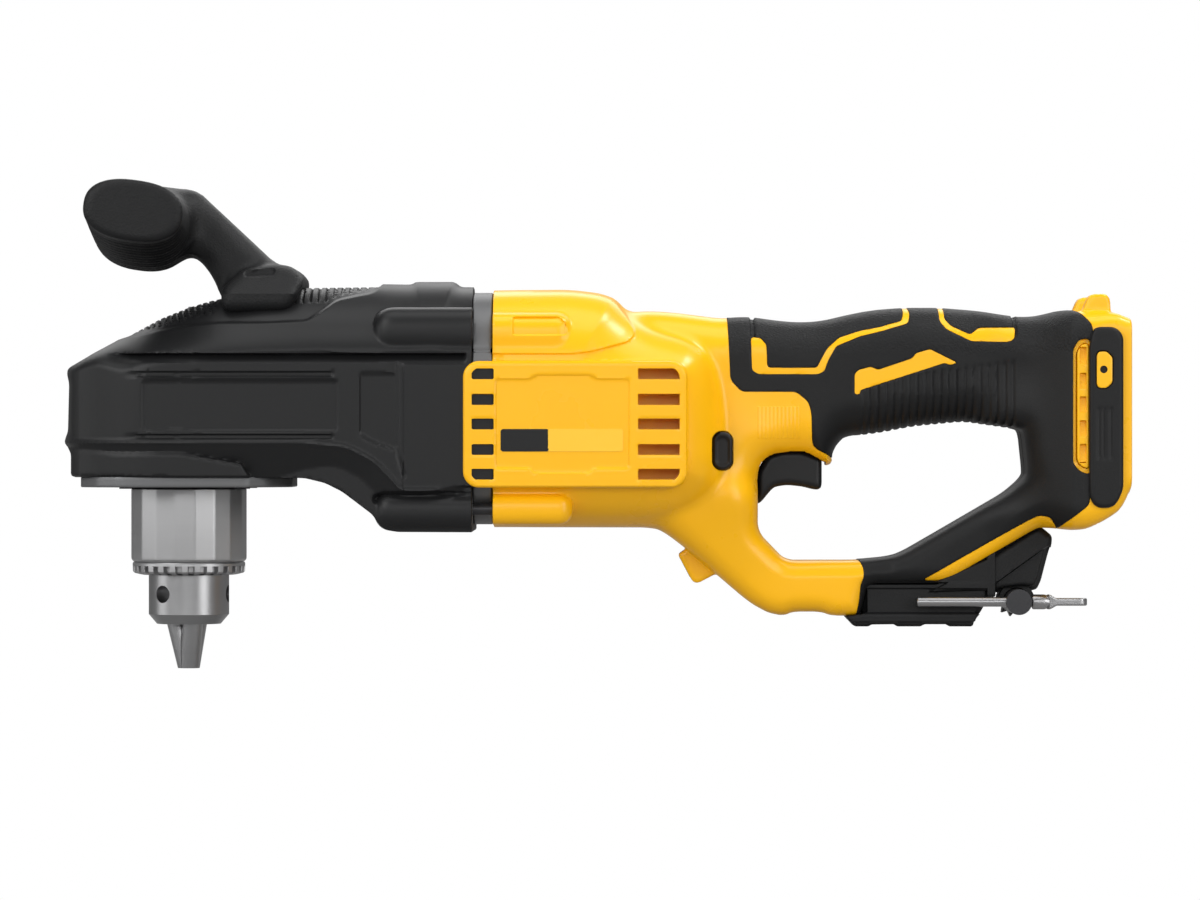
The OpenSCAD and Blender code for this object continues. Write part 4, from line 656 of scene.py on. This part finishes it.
def halves(f, x0, x1, z0, z1, reach, step):
    """The surface of f on each side of the middle plane, as two open shells that meet there."""
    depth = reach // step * step + step / 2
    near = contour(f, (x0, -depth, z0), (x1, step / 2 + 1e-6, z1), step)
    n = int(math.ceil((depth + step) / step))
    far = contour(f, (x0, -step / 2, z0), (x1, -step / 2 + n * step, z1), step)
    return near, far


near, far = halves(housing, 113, 391, 21, 160, 49.05, BODY_STEP)
piece("housing right", near, YELLOW, "tool_body", ["housing_right"])
piece("housing left", far, YELLOW, "tool_body", ["housing_left"])
surface = contour(lamp, (202, -7.2, 35), (212, 7.2, 49), 0.4 * FINE)
piece("lamp lens", surface, LENS, "tool_body", ["led_lens"])

# Bare labels on the vent panel
LABEL_FOOT, LABEL_TOP, LABEL_NEAR = 451.5, 429, 46.5
DARK_LABEL, PALE_LABEL = (500.6, 549), (547.5, 623)


def label(left, right):
    """Bare plate between two side view limits, lying on the vent panel."""
    corner, other = (left, LABEL_FOOT), (right, LABEL_TOP)
    a, b = pic([corner, other], LABEL_NEAR)

    def form(x, y, z):
        plate = window(x, z, corner, other, LABEL_NEAR, 1.1)
        return roundmax(plate, np.abs(np.abs(y) - 46.3) - 0.25, 0.1)
    near = contour(form, (a[0] - 1, -46.7, a[1] - 1), (b[0] + 1, -45.9, b[1] + 1), (0.5, 0.12, 0.5))
    return both_sides(near)


piece("label dark", label(*DARK_LABEL), BLACK, "tool_body", [])
piece("label pale", label(*PALE_LABEL), PALE, "tool_body", [])

# Rubber grip covers, thumb pads and vent strips
COVER_THICK = 4.2
COVER_GROOVES = ((107.4, 0.9), (215.5, 0.8))  # distance behind the housing's front, half width


def cover(x, y, z):
    """Rubber cover: a skin on the rear body inside the cover outline, ribbed under the fingers, with a
    groove across the top at each end of the grip."""
    g = body_form(x, y, z)
    s = cover_mark(x, z)
    u = x - FRONT_X
    g = g - 0.25 + 0.6 * grip_ribs(x, z)
    groove = np.minimum(*[np.abs(u - at) - half for at, half in COVER_GROOVES])
    g = g + 0.9 * step01(-groove, 0.4) * step01(z - 137.5, 1)
    f = roundmax(g, s + 0.12, 0.6)
    f = np.maximum(f, -(g + COVER_THICK))
    f = np.maximum(f, np.maximum(u - 250, -trigger_pocket(x, y, z)))
    return f + seam(y)


def skin(x, z, f):
    """Distance from the middle plane at which the form f is left, found by halving."""
    lo, hi = np.zeros(x.shape), np.full(x.shape, 60.0)
    for _ in range(22):
        mid = (lo + hi) / 2
        inside = f(x, mid, z) < 0
        lo, hi = np.where(inside, mid, lo), np.where(inside, hi, mid)
    return lo


THUMB_PAD = pic([(755, 441), (802, 404)], 20)
THUMB_RIB_PITCH = 1.62


def thumb_pad(u, v):
    """Patch on the neck at parameters u along and v up it, in fine upright ribs that fade at its rim."""
    a, b = THUMB_PAD
    long, tall = b - a
    x, z = a[0] + long * u, a[1] + tall * v
    rim = step01(np.minimum(np.minimum(u, 1 - u) * long, np.minimum(v, 1 - v) * tall) - 0.7, 0.5)
    rib = 0.5 + 0.5 * np.cos(2 * np.pi * (x - a[0]) / THUMB_RIB_PITCH)
    return x, -(skin(x, z, housing) - 0.5 + rim * (0.52 + 0.2 * rib)), z


near = sheet(thumb_pad, np.linspace(0, 1, 180), np.linspace(0, 1, 60))
piece("thumb pads", both_sides(near), YELLOW, "tool_body", [])


def vent_strip(x, y, z):
    """Louvre strip on the foot's flank: a narrow plate with five windows."""
    f = roundmax(STRIP_FRAME(x, z) + 0.1, np.abs(np.abs(y) - 37.0) - 0.75, 0.4)
    return smax(f, -strip_windows(x, z), 0.3)


near = contour(vent_strip, (366, -38.4, 78), (378, -35.8, 136), 0.4 * FINE)
piece("vent strips", both_sides(near), YELLOW, "tool_body", [])

LOUVRE_FOOT_Z = pic([(1083, 366)], FOOT_NEAR)[0, 1]
LOUVRE_PITCH = 9.85


def louvres(x, y, z):
    """Sloping blades behind the windows of the strip, one to a window."""
    blade = 37.3 - 2.0 * np.mod((z - LOUVRE_FOOT_Z) / LOUVRE_PITCH, 1)
    return np.maximum(STRIP_FRAME(x, z) + 0.6, np.maximum(np.abs(y) - blade, 34.6 - np.abs(y)))


near = contour(louvres, (366, -37.6, 78), (378, -34.2, 136), 0.4 * FINE)
piece("vent louvres", both_sides(near), YELLOW, "tool_body", [])
near, far = halves(cover, 224, 380, 21, 154, 41.0, BODY_STEP)
for name, half in (("right", near), ("left", far)):
    grained = step01(half[0][:, 2] - 131, 2)
    piece("grip cover " + name, half, RUBBER, "tool_body", ["grip_cover_" + name],
          marks=grained)

# Black jacket of the gear head: side outline met by plan outline
JACKET_SIDE = soften(pic([
    (73.4, 476.5), (73.4, 452.4), (65.2, 443), (66, 438), (69, 431.7), (70.3, 383.5), (67.5, 373),
    (69, 368), (90, 357), (105, 348), (121, 337), (131, 330.6), (159.5, 315.7), (189, 304), (209, 298),
    (223, 295), (260, 289), (305.8, 284.6), (378, 283.8), (411.7, 283.8), (414.3, 281.2), (454.7, 281.2),
    (460, 286.4), (620, 288), (620, 531.3), (470, 531.3), (399, 531), (386.7, 528), (379, 520),
    (375.5, 514), (361, 503), (345, 491), (328, 482.6), (309, 478), (295.5, 477.4),
    (250, 477)], 12), 0.9)
JACKET_PLAN = [(-72, 0), (-50.4, 19.5), (-46, 28.5), (-39.6, 33.8), (-28, 39.5), (-15, 43), (7, 44),
               (48, 44), (77.7, 44.5), (83, 45), (190, 45)]
jacket_side = outline(JACKET_SIDE, 12)
jacket_plan = outline(soften(JACKET_PLAN + [(x, -y) for x, y in JACKET_PLAN[:0:-1]], 3), 12)
RECESS = side_mark([(142, 380), (337, 380), (337, 430), (142, 430)], HEAD_NEAR, 0.8, 6, 0.4)
REAR_RECESS = side_mark([
    (360, 373), (395, 373), (395, 450), (375, 443), (360, 435)], HEAD_NEAR, 0.8, 6, 0.4)
HOOD = side_mark([
    (112, 338), (121.8, 336.5), (147.8, 332.6), (167, 329), (190, 325.4), (222.6, 322.8), (261.6, 322.8),
    (307, 321), (320, 313), (336.4, 300), (352.7, 296), (372, 292), (380, 284), (380, 260),
    (112, 260)], 30, 1.0, 8, 0.4)
BAND = side_mark([
    (40, 446), (300, 446), (345, 450), (372, 464), (392, 485), (400, 494), (500, 494), (500, 560),
    (40, 560)], HEAD_NEAR, 2.0, 8, 0.4)
SKIRT = side_mark([
    (40, 448.5), (80, 449.5), (118, 452.6), (160, 452.4), (182, 452.6), (207, 457.2), (242, 463.5),
    (245, 470), (251, 478), (251, 520), (40, 520)], 42, 0.8, 8, 0.4)
BOSS_CREASE = stroke(pic([(377, 499), (384, 496.5), (422, 497), (450, 493), (486, 487)], HEAD_NEAR))
BLOCK_EDGE = stroke(pic([(397, 364), (398, 455), (404, 476)], HEAD_NEAR))

# Screw bosses of the jacket: front end, distance from the middle plane, height above the motor, radius
JACKET_BOSSES = ((78, 35.5, 31.4, 9.9), (79, 36.6, -42.4, 7.8))
JACKET_REAR = 118.9
# Ribs under the hood: first and last place, and pitch
FRONT_RIBS = (-23, 12.5, 2.95)
REAR_RIBS = (45, 79, 3.25)
SHOULDER_FOOT, SHOULDER_TALL, SHOULDER_DEEP = 126.3, 3.8, 3.6
# Fine grooves above and below the recess: height, half width
FINE_GROOVES = ((121.8, 1.0), (96.2, 0.9))


def jacket_roll(x, z):
    """Radius of the jacket's edge: small low down and on the nose, large along the top."""
    high = step01(z - 124 - 14 * step01(-30 - x, 10), 18)
    return 4 + (30 + 3 * step01(x - 20, 40)) * high + 7 * step01(x - 84, 8) * step01(z - 138, 10)


def ribs_on(x, along, first, last, pitch):
    """Share of a rib groove at a place along a row of ribs."""
    return step01(np.cos(2 * np.pi * along / pitch) - 0.5, 0.4) * step01(x - first, 1) * step01(last - x, 1)


def jacket(x, y, z):
    """Gear head jacket: side outline met by plan outline with a rolled edge, sloping in below the flank's
    ridge, with a lip above the spindle plate, two screw bosses a side and its moulded relief."""
    side, plan, ridge = jacket_side(x, z), jacket_plan(x, y), BAND(x, z)
    ay = np.abs(y)
    f = roundmax(side, plan, jacket_roll(x, z))
    band = np.clip(-ridge, 0, 14 - 7 * step01(x - 46, 16))
    f = smax(f, (plan + 0.5 * band) * 0.9, 0.5)
    flank = step01(ay - 20, 8)
    f = f - 0.9 * flank * np.exp(-((ridge - 1.2) / 0.9) ** 2)
    f = smin(f, roundmax(np.maximum(SKIRT(x, z), side), plan + 0.4, 1.3), 1.1)
    f = f + 2.2 * step01(1.5 - BOSS_CREASE(x, z), 1.2) * flank
    for front, off, up, r in JACKET_BOSSES:
        f = smin(f, capsule_x(x, y, z, front, 140, off, MOTOR_Z + up, r, 2.5), 0.8)
    f = f + flank * 0.8 * step01(-RECESS(x, z), 0.7)
    f = f + flank * 0.6 * step01(-REAR_RECESS(x, z), 0.4)
    hood = HOOD(x, z)
    f = f + 1.3 * step01(-hood, 0.7)
    under_hood = step01(-hood - 1.6, 0.6) * step01(27 - ay, 2)
    f = f + 0.7 * under_hood * ribs_on(x, x + 0.5 * (z - 140), *FRONT_RIBS)
    f = f + 0.7 * under_hood * ribs_on(x, x, *REAR_RIBS)
    f = f - 0.8 * flank * step01(x - 91, 0.5) * step01(ridge - 1, 0.5) * step01(126 - z, 0.5)
    f = f + 0.5 * flank * step01(0.8 - BLOCK_EDGE(x, z), 0.5)
    shoulder = np.clip((z - SHOULDER_FOOT) / SHOULDER_TALL, 0, 1)
    shoulder = shoulder * step01(130.2 - z, 0.4) * step01(x + 24, 8) * step01(116 - x, 1)
    f = f + SHOULDER_DEEP * flank * shoulder
    for level, half in FINE_GROOVES:
        f = f + flank * 0.8 * step01(half - np.abs(z - level), 0.5) * step01(x + 20, 5) * step01(62 - x, 1)
    f = smax(f, x - JACKET_REAR, 0.8)
    return f + seam(y)


surface = contour(jacket, (-54, -47.7, 55), (122, 47.7, 163), (0.8 * FINE, 1.0 * FINE, 1.0 * FINE))
piece("gear case jacket", surface, BLACK, "tool_body", ["gear_case_jacket"])

# Top handle
ARM_SIDE = outline(soften([(-24, 176), (-16, 195), (2.9, 199.2), (10.8, 192.1), (23.3, 180.4), (37.5, 167),
                           (34, 150), (14, 154), (11, 162), (5.8, 168.8), (-1.3, 176.3)], 2.5), 12)
SADDLE_SIDE = side_mark([
    (225, 289), (224, 297), (225, 308), (232, 314), (289, 313), (296, 306), (306, 283), (303, 275),
    (292.5, 267), (275, 264), (245, 270)], 10, 1.2, 12, 0.5)
ARM_SLOT = stroke(pic([(249, 275), (273, 273)], 16))
BAR_HALF = 56.9
BAR_X, BAR_TOP = -18.8, 200.7
BAR_DEEP, BAR_TALL, BAR_END_DROP = 40.6, 35.4, 10.5
BAR_TILT = math.radians(-8)
BAR_SQUARE = 2.4
BAR_RIB_PITCH = 4.2
HANDLE_GRAIN = 0.55


def cross_bar(x, y, z):
    """Bar across the top: a tilted, squarish oval section, lower towards the ends and ribbed below."""
    along = np.minimum(np.abs(y) / 57, 1)
    depth = BAR_DEEP / 2
    height = (BAR_TALL - BAR_END_DROP * np.minimum(along / 0.93, 1) ** 1.25) / 2
    dx, dz = x - BAR_X, z - (BAR_TOP - height)
    a = dx * math.cos(BAR_TILT) + dz * math.sin(BAR_TILT)
    b = dz * math.cos(BAR_TILT) - dx * math.sin(BAR_TILT)
    oval = ((np.abs(a) / depth) ** BAR_SQUARE + (np.abs(b) / height) ** BAR_SQUARE) ** (1 / BAR_SQUARE)
    f = (oval - 1) * np.minimum(depth, height)
    rib = 0.5 + 0.5 * np.cos(2 * np.pi * y / BAR_RIB_PITCH)
    f = f + 0.5 * rib * step01(-b - 3, 2) * step01(50 - np.abs(y), 2)
    return roundmax(f, np.abs(y) - BAR_HALF, 2.6)


def arm(x, y, z):
    """Arm, wider at its foot, standing on a saddle whose flanks lean in, with a slot on each flank."""
    ay = np.abs(y)
    f = roundmax(ARM_SIDE(x, z), ay - 11 - 5 * step01(172 - z, 14), 8.5, 2.2)
    g = roundmax(SADDLE_SIDE(x, z), ay - np.clip(33 - (z - 155) * 0.9, 14, 33), 5)
    return smin(f, g, 4) + 1.6 * step01(1.3 - ARM_SLOT(x, z), 0.8) * step01(ay - 8, 2)


def handle(x, y, z):
    """Cross bar and arm, blended where they meet."""
    return smin(cross_bar(x, y, z), arm(x, y, z), 9)


p, q = contour(handle, (-43, -59, 143), (54, 59, 204), 0.95 * FINE)
mid = p[q].mean(1)
on_bar = mid[:, 0] + 0.35 * np.abs(mid[:, 2] - 182) < 3.5
for name, keep, node, slot in (("top handle grip", on_bar, "top_handle_grip", "grip_rubber"),
                               ("top handle", ~on_bar, "top_handle", "black_plastic")):
    used, idx = np.unique(q[keep], return_inverse=True)
    surface = p[used], idx.reshape(-1, 4)
    piece(name, surface, RUBBER, "tool_body", [node], marks=np.full(len(used), HANDLE_GRAIN))

# Trigger, direction button and foot pads
TRIGGER = side_mark([
    (757, 473), (767, 455), (782, 450), (802, 450), (822, 458), (822, 486), (820, 489), (816, 490),
    (802, 486.5), (787, 485), (777, 486.5), (773, 488), (767, 495), (761, 502.5),
    (757, 504)], 9, 1.0, 6, 0.4)
TRIGGER_HALF = 8.8


def trigger(x, y, z):
    """Trigger: its side outline with rolled edges."""
    return roundmax(TRIGGER(x, z), np.abs(y) - TRIGGER_HALF, 2.8)


surface = contour(trigger, (235, -10.2, 66), (266, 10.2, 92), 0.6 * FINE)
piece("trigger", surface, BLACK, "trigger_body", ["trigger"])


def button(x, y, z):
    """Oval push piece right through the neck, hollowed a little on each end."""
    f = roundmax(rounded_rect(x, z, BUTTON_C, (4.15, 7.8), 3.9), np.abs(y) - 27, 1.4)
    hollow = step01(-rounded_rect(x, z, BUTTON_C, (2.6, 5.8), 2.4), 0.8)
    return f + 0.7 * hollow * step01(np.abs(y) - 25, 1)


surface = contour(button, (216, -28.2, 80), (228, 28.2, 101), 0.6 * FINE)
piece("direction button", surface, BLACK, "button_body", ["direction_button"])
PAD = side_mark([
    (1089.6, 346), (1092.5, 331), (1097, 326.7), (1115.8, 326.9), (1123.6, 335), (1123.6, 489),
    (1117.5, 503), (1111, 508), (1097, 508), (1090.5, 500), (1089.6, 488)], PAD_NEAR, 1.2, 8, 0.4)
SEAT_PLATE = side_mark([
    (1096.8, 355), (1099, 351.5), (1106.6, 351.5), (1112.4, 357.3), (1112.4, 382.5), (1106.6, 387.9),
    (1098.8, 387.9), (1096.8, 384.5)], PAD_NEAR, 0.5, 6, 0.3)
SEAT_HOLE, SEAT_HOLE_R = pic([(1103.8, 369.4)], PAD_NEAR)[0], 1.55
PAD_LINES = pic([(1099, 430), (1105, 430), (1111, 430)], PAD_NEAR)


def pad(x, y, z):
    """Rubber pad on the foot's flank with a seat for its small plate and three moulded lines."""
    f = roundmax(PAD(x, z), np.abs(y) - 40.5, 1.6)
    f = np.maximum(f, 37.8 - np.abs(y))
    f = f + 0.8 * step01(-SEAT_PLATE(x, z) + 0.4, 0.3)
    for line_x, line_z in PAD_LINES:
        line = step01(0.5 - np.abs(x - line_x), 0.3) * step01(12 - np.abs(z - line_z), 1)
        f = f + 0.35 * line * step01(line_z + 9 - z, 1)
    return f


def seat_plate(x, y, z):
    """Small plate in the pad's seat, with a round hole."""
    f = roundmax(SEAT_PLATE(x, z), np.abs(y) - 40.45, 0.5)
    hole = SEAT_HOLE_R - np.hypot(x - SEAT_HOLE[0], z - SEAT_HOLE[1])
    return np.maximum(np.maximum(f, 38.5 - np.abs(y)), hole)


near = contour(pad, (369, -41.4, 62), (392, -37, 144), 0.7 * FINE)
piece("foot pad right", near, RUBBER, "tool_body", ["battery_bumper_right"])
piece("foot pad left", mirrored(near), RUBBER, "tool_body", ["battery_bumper_left"])
near = contour(seat_plate, (374, -41.4, 114), (386, -37.7, 134), 0.45 * FINE)
piece("seat plates", both_sides(near), YELLOW, "tool_body", [])

# Grey plates of the gear head
COLLAR_HALF, COLLAR_TALL, COLLAR_SQUARE = 44.5, 48.1, 3.2
COLLAR_LINES = (131.5, 125.5)


def end_plate(x, y, z):
    """Collar between head and barrel: a squarish oval plate with broken edges and two scored lines."""
    across, up = np.abs(y) / COLLAR_HALF, np.abs(z - MOTOR_Z) / COLLAR_TALL
    oval = (across ** COLLAR_SQUARE + up ** COLLAR_SQUARE) ** (1 / COLLAR_SQUARE)
    f = roundmax(oval * COLLAR_HALF - COLLAR_HALF, np.abs(x - 123) - 3.95, 0.8)
    for level in COLLAR_LINES:
        f = f + 0.5 * step01(0.8 - np.abs(z - level), 0.4)
    return np.maximum(f, 30 - np.hypot(y, z - MOTOR_Z))


surface = contour(end_plate, (118.4, -45.6, 58.8), (127.6, 45.6, 157.2), 0.9 * FINE)
piece("motor end plate", surface, ALLOY, "tool_body", ["motor_end_plate"])
PLATE_PLAN = outline(soften([
    (-43.0, -24), (-34.7, -36), (-26, -40.5), (26, -40.5), (35.2, -33), (44.2, -20), (44.2, 20),
    (35.2, 33), (26, 40.5), (-26, 40.5), (-34.7, 36), (-43.0, 24)], 1.5), 8, 0.5)

PLATE_MIDDLE_Z, PLATE_THICK = 77.6, 4.3
PLATE_BORE_R = 26.5
PLATE_SCREW_OFF, PLATE_SCREW_R = 33.75, 3.4


def spindle_plate(x, y, z):
    """Plate under the head with a round bore and a screw seat on each diagonal."""
    f = roundmax(PLATE_PLAN(x, y), np.abs(z - PLATE_MIDDLE_Z) - PLATE_THICK / 2, 0.6)
    f = np.maximum(f, PLATE_BORE_R - np.hypot(x, y))
    for quarter in range(4):
        a = math.radians(45 + 90 * quarter)
        sx, sy = PLATE_SCREW_OFF * math.cos(a), PLATE_SCREW_OFF * math.sin(a)
        seat = np.hypot(x - sx, y - sy) - PLATE_SCREW_R
        f = np.maximum(f, -np.maximum(seat, z - 76.1))
    return f


surface = contour(spindle_plate, (-46, -42, 74.6), (46, 42, 80.6), (0.9 * FINE, 0.9 * FINE, 0.6))
piece("spindle plate", surface, ALLOY, "tool_body", ["spindle_plate"])


def slot_shade_sheet(x, y, z):
    """Thin dark sheet behind the panel's front slots: painted shade seen through them."""
    face = np.maximum(np.abs(x - 121.9) - 5.6, np.abs(z - PANEL_C[1]) - 25)
    return np.maximum(face, np.abs(np.abs(y) - 45.35) - 0.35)


# Dark sheet behind the front slots, painting the shade inside them
near = contour(slot_shade_sheet, (115.8, -46.1, 74), (128, -44.6, 130), (0.8, 0.2, 0.8))
piece("front slot shade sheets", both_sides(near), BLACK, "tool_body", [])

# Chuck sleeve: flats with narrow lands between them above, ring teeth below
SLEEVE_FLATS, RING_TEETH, TOOTH_DEEP = 18, 28, 2.6
PLAIN, FLAT, TOOTHED = 0, 1, 2
# Down the sleeve: height, radius, and what goes round it there
SLEEVE_PROFILE = np.array([
    (75.2, 20.6, PLAIN), (75.2, 23.0, PLAIN), (74.8, 23.6, FLAT), (74.4, 24.0, FLAT), (46.2, 24.0, FLAT),
    (45.4, 23.9, FLAT), (44.6, 23.2, PLAIN), (44.4, 22.7, PLAIN), (44.1, 23.2, PLAIN),
    (43.7, 23.4, PLAIN), (42.7, 23.4, PLAIN), (42.6, 23.4, TOOTHED), (40.4, 23.3, TOOTHED),
    (39.7, 22.6, TOOTHED), (39.2, 20.6, TOOTHED), (38.95, 19.2, PLAIN), (38.95, 17.0, PLAIN)])


def sleeve(t, k):
    """Sleeve at angle t and step k down its profile: flats with narrow lands, or teeth with square gaps."""
    z, r, kind = SLEEVE_PROFILE[np.round(k).astype(int)].transpose(2, 0, 1)
    off_middle = np.mod(t, 2 * np.pi / SLEEVE_FLATS) - np.pi / SLEEVE_FLATS
    flat = np.minimum(r, (r - 0.28) / np.cos(off_middle))
    across_tooth = np.mod(t * RING_TEETH / (2 * np.pi), 1)
    gap = step01(0.23 - np.abs(across_tooth - 0.5), 0.035)
    r = np.where(kind == FLAT, flat, np.where(kind == TOOTHED, r - TOOTH_DEEP * gap, r))
    return r * np.cos(t), r * np.sin(t), z


turn = np.linspace(0, 2 * np.pi, 2 * SLEEVE_FLATS * RING_TEETH, endpoint=False)
surface = sheet(sleeve, turn[::-1], np.arange(len(SLEEVE_PROFILE)), close_u=True)
piece("chuck sleeve", surface, CHUCK, "sleeve_body", ["chuck_sleeve"], angle=12)

# Key holder and key
HOLDER_FRONT = side_mark([
    (862, 581.3), (936, 581.3), (991.7, 557.2), (991, 597), (985, 606), (981, 613), (976, 618.6),
    (973.5, 626.9), (949.4, 626.9), (947.8, 624.7), (924.6, 624.7), (922, 626.9), (897, 626.9),
    (895.5, 624.7), (871.5, 625), (869.8, 626.9), (855, 626.9), (845, 616),
    (862.4, 614.4)], 14, 0.5, 8, 0.4)
HOLDER_REAR = side_mark([
    (989, 556.5), (1037, 525.7), (1042.3, 527.4), (1052.2, 535.7), (1052.2, 543), (1045.6, 568),
    (1042.3, 581), (1038, 590), (1030, 591), (1022, 590), (989, 594)], 12, 0.7, 8, 0.4)
HOLDER_FACE = side_mark([(996, 583), (1041.5, 550), (1050, 546), (1044, 600), (996, 600)], 12, 0.6)
HOLDER_FIN = side_mark([(987, 556), (995.5, 551), (995.5, 597), (987, 597)], 14, 0.5)
HOLDER_WEDGE = side_mark([(934, 590), (989.5, 560.5), (989.5, 590), (928, 592)], 14, 0.4)
KEY_X, KEY_Z = 344.2, 28.0
BAR_Y = -17.5  # distance of the key's cross bar from the middle plane
CLIP_OUT_R, CLIP_IN_R = 7.6, 5.7


def holder(x, y, z):
    """Rubber key holder: foot block with its top rail, wedge, fin and lower flange, rear block with a sunk
    face, and the arch of the clip."""
    ay = np.abs(y)
    flank = step01(ay - 9, 1)
    above_flange = step01(z - 23.2, 0.6)
    sunk = step01(35.8 - z, 0.4) * above_flange
    front = roundmax(HOLDER_FRONT(x, z), ay - 14.2, 0.9)
    front = front + (1.5 * sunk + 0.8 * step01(33.4 - z, 0.4) * above_flange) * flank
    front = front - 1.6 * step01(-HOLDER_WEDGE(x, z), 0.35) * flank * sunk
    front = front + 1.2 * step01(19.6 - z, 0.4) * flank
    rear = roundmax(HOLDER_REAR(x, z), ay - 13, 3.2)
    rear = rear + 2.0 * step01(-HOLDER_FACE(x, z), 0.4) * step01(ay - 6, 2)
    fin = roundmax(HOLDER_FIN(x, z), ay - 14.4, 0.7)
    d = np.hypot(x - KEY_X, z - KEY_Z)
    clip = np.maximum(np.maximum(d - CLIP_OUT_R, CLIP_IN_R - d), np.maximum(ay - 9, KEY_Z - 1 - z))
    return np.minimum(smin(smin(front, rear, 0.6), clip, 1.0), fin)


surface = contour(holder, (272, -15.4, 15), (363, 15.4, 63), 0.7 * FINE)
piece("key holder", surface, RUBBER, "tool_body", ["key_holder"])


def turned(profile, n=48):
    """Surface turned about an axis: profile gives distance along it and radius."""
    prof = np.array(profile, float)

    def fn(t, k):
        i = np.round(k).astype(int)
        return prof[i, 0], prof[i, 1] * np.cos(t), prof[i, 1] * np.sin(t)
    return sheet(fn, np.linspace(0, 2 * np.pi, n, endpoint=False), np.arange(len(prof)), close_u=True)


def bar_tab(x, y, z):
    """Flattened tail of the cross bar with a round end."""
    plan = rounded_rect(x, y, (364.2, BAR_Y), (8.4, 3.1), 3.0)
    thick = 1.55 + 1.5 * step01(358.5 - x, 1.8)
    return roundmax(plan, np.abs(z - KEY_Z) - thick, 0.6)


# Cross bar of the key: distance along the tool and radius
BAR_PROFILE = [(302.4, 0), (302.4, 1.7), (302.7, 2.0), (338, 2.0), (349.6, 2.0), (350, 2.9), (350.4, 3.1),
               (354.8, 3.1), (356.4, 2.7), (357.2, 2.4), (357.2, 0)]
points, faces = turned(BAR_PROFILE)
rod = points + [0, BAR_Y, KEY_Z], faces[:, ::-1]
tail = contour(bar_tab, (355, -21.2, 24.4), (373.2, -13.8, 31.6), 0.4 * FINE)
piece("chuck key bar", join(rod, tail), STEEL, "key_body", ["chuck_key_bar"])

# Stage, light and camera


def white_to_camera(tree, lit, plain, out):
    """Shows the plain white shader to the camera and the lit one to every other ray."""
    ray = tree.nodes.new("ShaderNodeLightPath")
    pick = tree.nodes.new("ShaderNodeMixShader")
    tree.links.new(ray.outputs["Is Camera Ray"], pick.inputs[0])
    tree.links.new(lit.outputs[0], pick.inputs[1])
    tree.links.new(plain.outputs[0], pick.inputs[2])
    tree.links.new(pick.outputs[0], tree.nodes[out].inputs["Surface"])


FLOOR_HALF, FLOOR_Z = 4, -0.03


def stage():
    """Pale floor below the tool, grey to bounced light and white to the camera."""
    mesh = bpy.data.meshes.new("floor")
    corners = [(FLOOR_HALF * a, FLOOR_HALF * b, FLOOR_Z) for a, b in ((-1, -1), (1, -1), (1, 1), (-1, 1))]
    mesh.from_pydata(corners, [], [(0, 1, 2, 3)])
    floor = bpy.data.objects.new("floor", mesh)
    bpy.context.scene.collection.objects.link(floor)
    mat = bpy.data.materials.new("studio floor")
    mat.use_nodes = True
    shader = mat.node_tree.nodes["Principled BSDF"]
    shader.inputs["Base Color"].default_value = (0.32, 0.32, 0.32, 1)
    shader.inputs["Roughness"].default_value = 0.9
    glow = finish_node(mat, "ShaderNodeEmission", Color=(1, 1, 1, 1), Strength=1.0)
    white_to_camera(mat.node_tree, shader, glow, "Material Output")
    mesh.materials.append(mat)


def studio_air():
    """World: a faint even light, white to the camera."""
    world = bpy.data.worlds.new("studio")
    bpy.context.scene.world = world
    world.use_nodes = True
    sky = world.node_tree.nodes["Background"]
    sky.inputs["Color"].default_value = (1, 1, 1, 1)
    sky.inputs["Strength"].default_value = 0.24
    white = finish_node(world, "ShaderNodeBackground", Color=(1, 1, 1, 1), Strength=1.0)
    white_to_camera(world.node_tree, sky, white, "World Output")


def softbox(name, place, target, size, power):
    """Rectangular area light at a place, turned to face a target; metres and watts."""
    light = bpy.data.lights.new(name, "AREA")
    light.shape = "RECTANGLE"
    light.size, light.size_y = size
    light.energy = power
    obj = bpy.data.objects.new(name, light)
    bpy.context.scene.collection.objects.link(obj)
    d = np.array(target, float) - np.array(place, float)
    obj.location = place
    yaw, pitch = math.atan2(d[1], d[0]), math.atan2(d[2], math.hypot(d[0], d[1]))
    obj.rotation_euler = (math.pi / 2 + pitch, 0, yaw - math.pi / 2)


SENSOR, VIEW_WIDE = 36, 500  # camera sensor, and what the view spans at the chuck axis, in millimetres


def camera():
    """Camera square to the near side, as far off as the side view was seen from."""
    cam = bpy.data.cameras.new("camera")
    cam.sensor_width = SENSOR
    cam.lens = SENSOR * VIEW_FAR / VIEW_WIDE
    eye = bpy.data.objects.new("camera", cam)
    bpy.context.scene.collection.objects.link(eye)
    eye.location = (VIEW_CENTRE[0] / 1000, -VIEW_FAR / 1000, VIEW_CENTRE[1] / 1000)
    eye.rotation_euler = (math.pi / 2, 0, 0)
    bpy.context.scene.camera = eye
    bpy.context.scene.view_settings.view_transform = "Standard"


stage()
studio_air()
softbox("overhead", (0.15, -0.25, 1.1), (0.17, 0, 0.1), (1.3, 0.7), 6.0)
softbox("front", (0.05, -2.1, 0.55), (0.17, 0, 0.09), (1.5, 0.6), 8.4)
softbox("side left", (-1.6, -0.35, 0.08), (0.0, 0, 0.08), (0.9, 0.8), 5)
softbox("key left", (-0.75, -0.9, 0.65), (0.1, 0, 0.1), (0.7, 0.9), 8)
softbox("fill right", (1.0, -0.9, 0.35), (0.25, 0, 0.1), (0.6, 0.8), 5.5)
softbox("spark", (0.92, 0.0, 1.1), (0.2, 0, 0.12), (0.25, 0.25), 5)
softbox("rim back", (0.2, 0.9, 0.8), (0.17, 0, 0.12), (1.6, 0.5), 6)
camera()
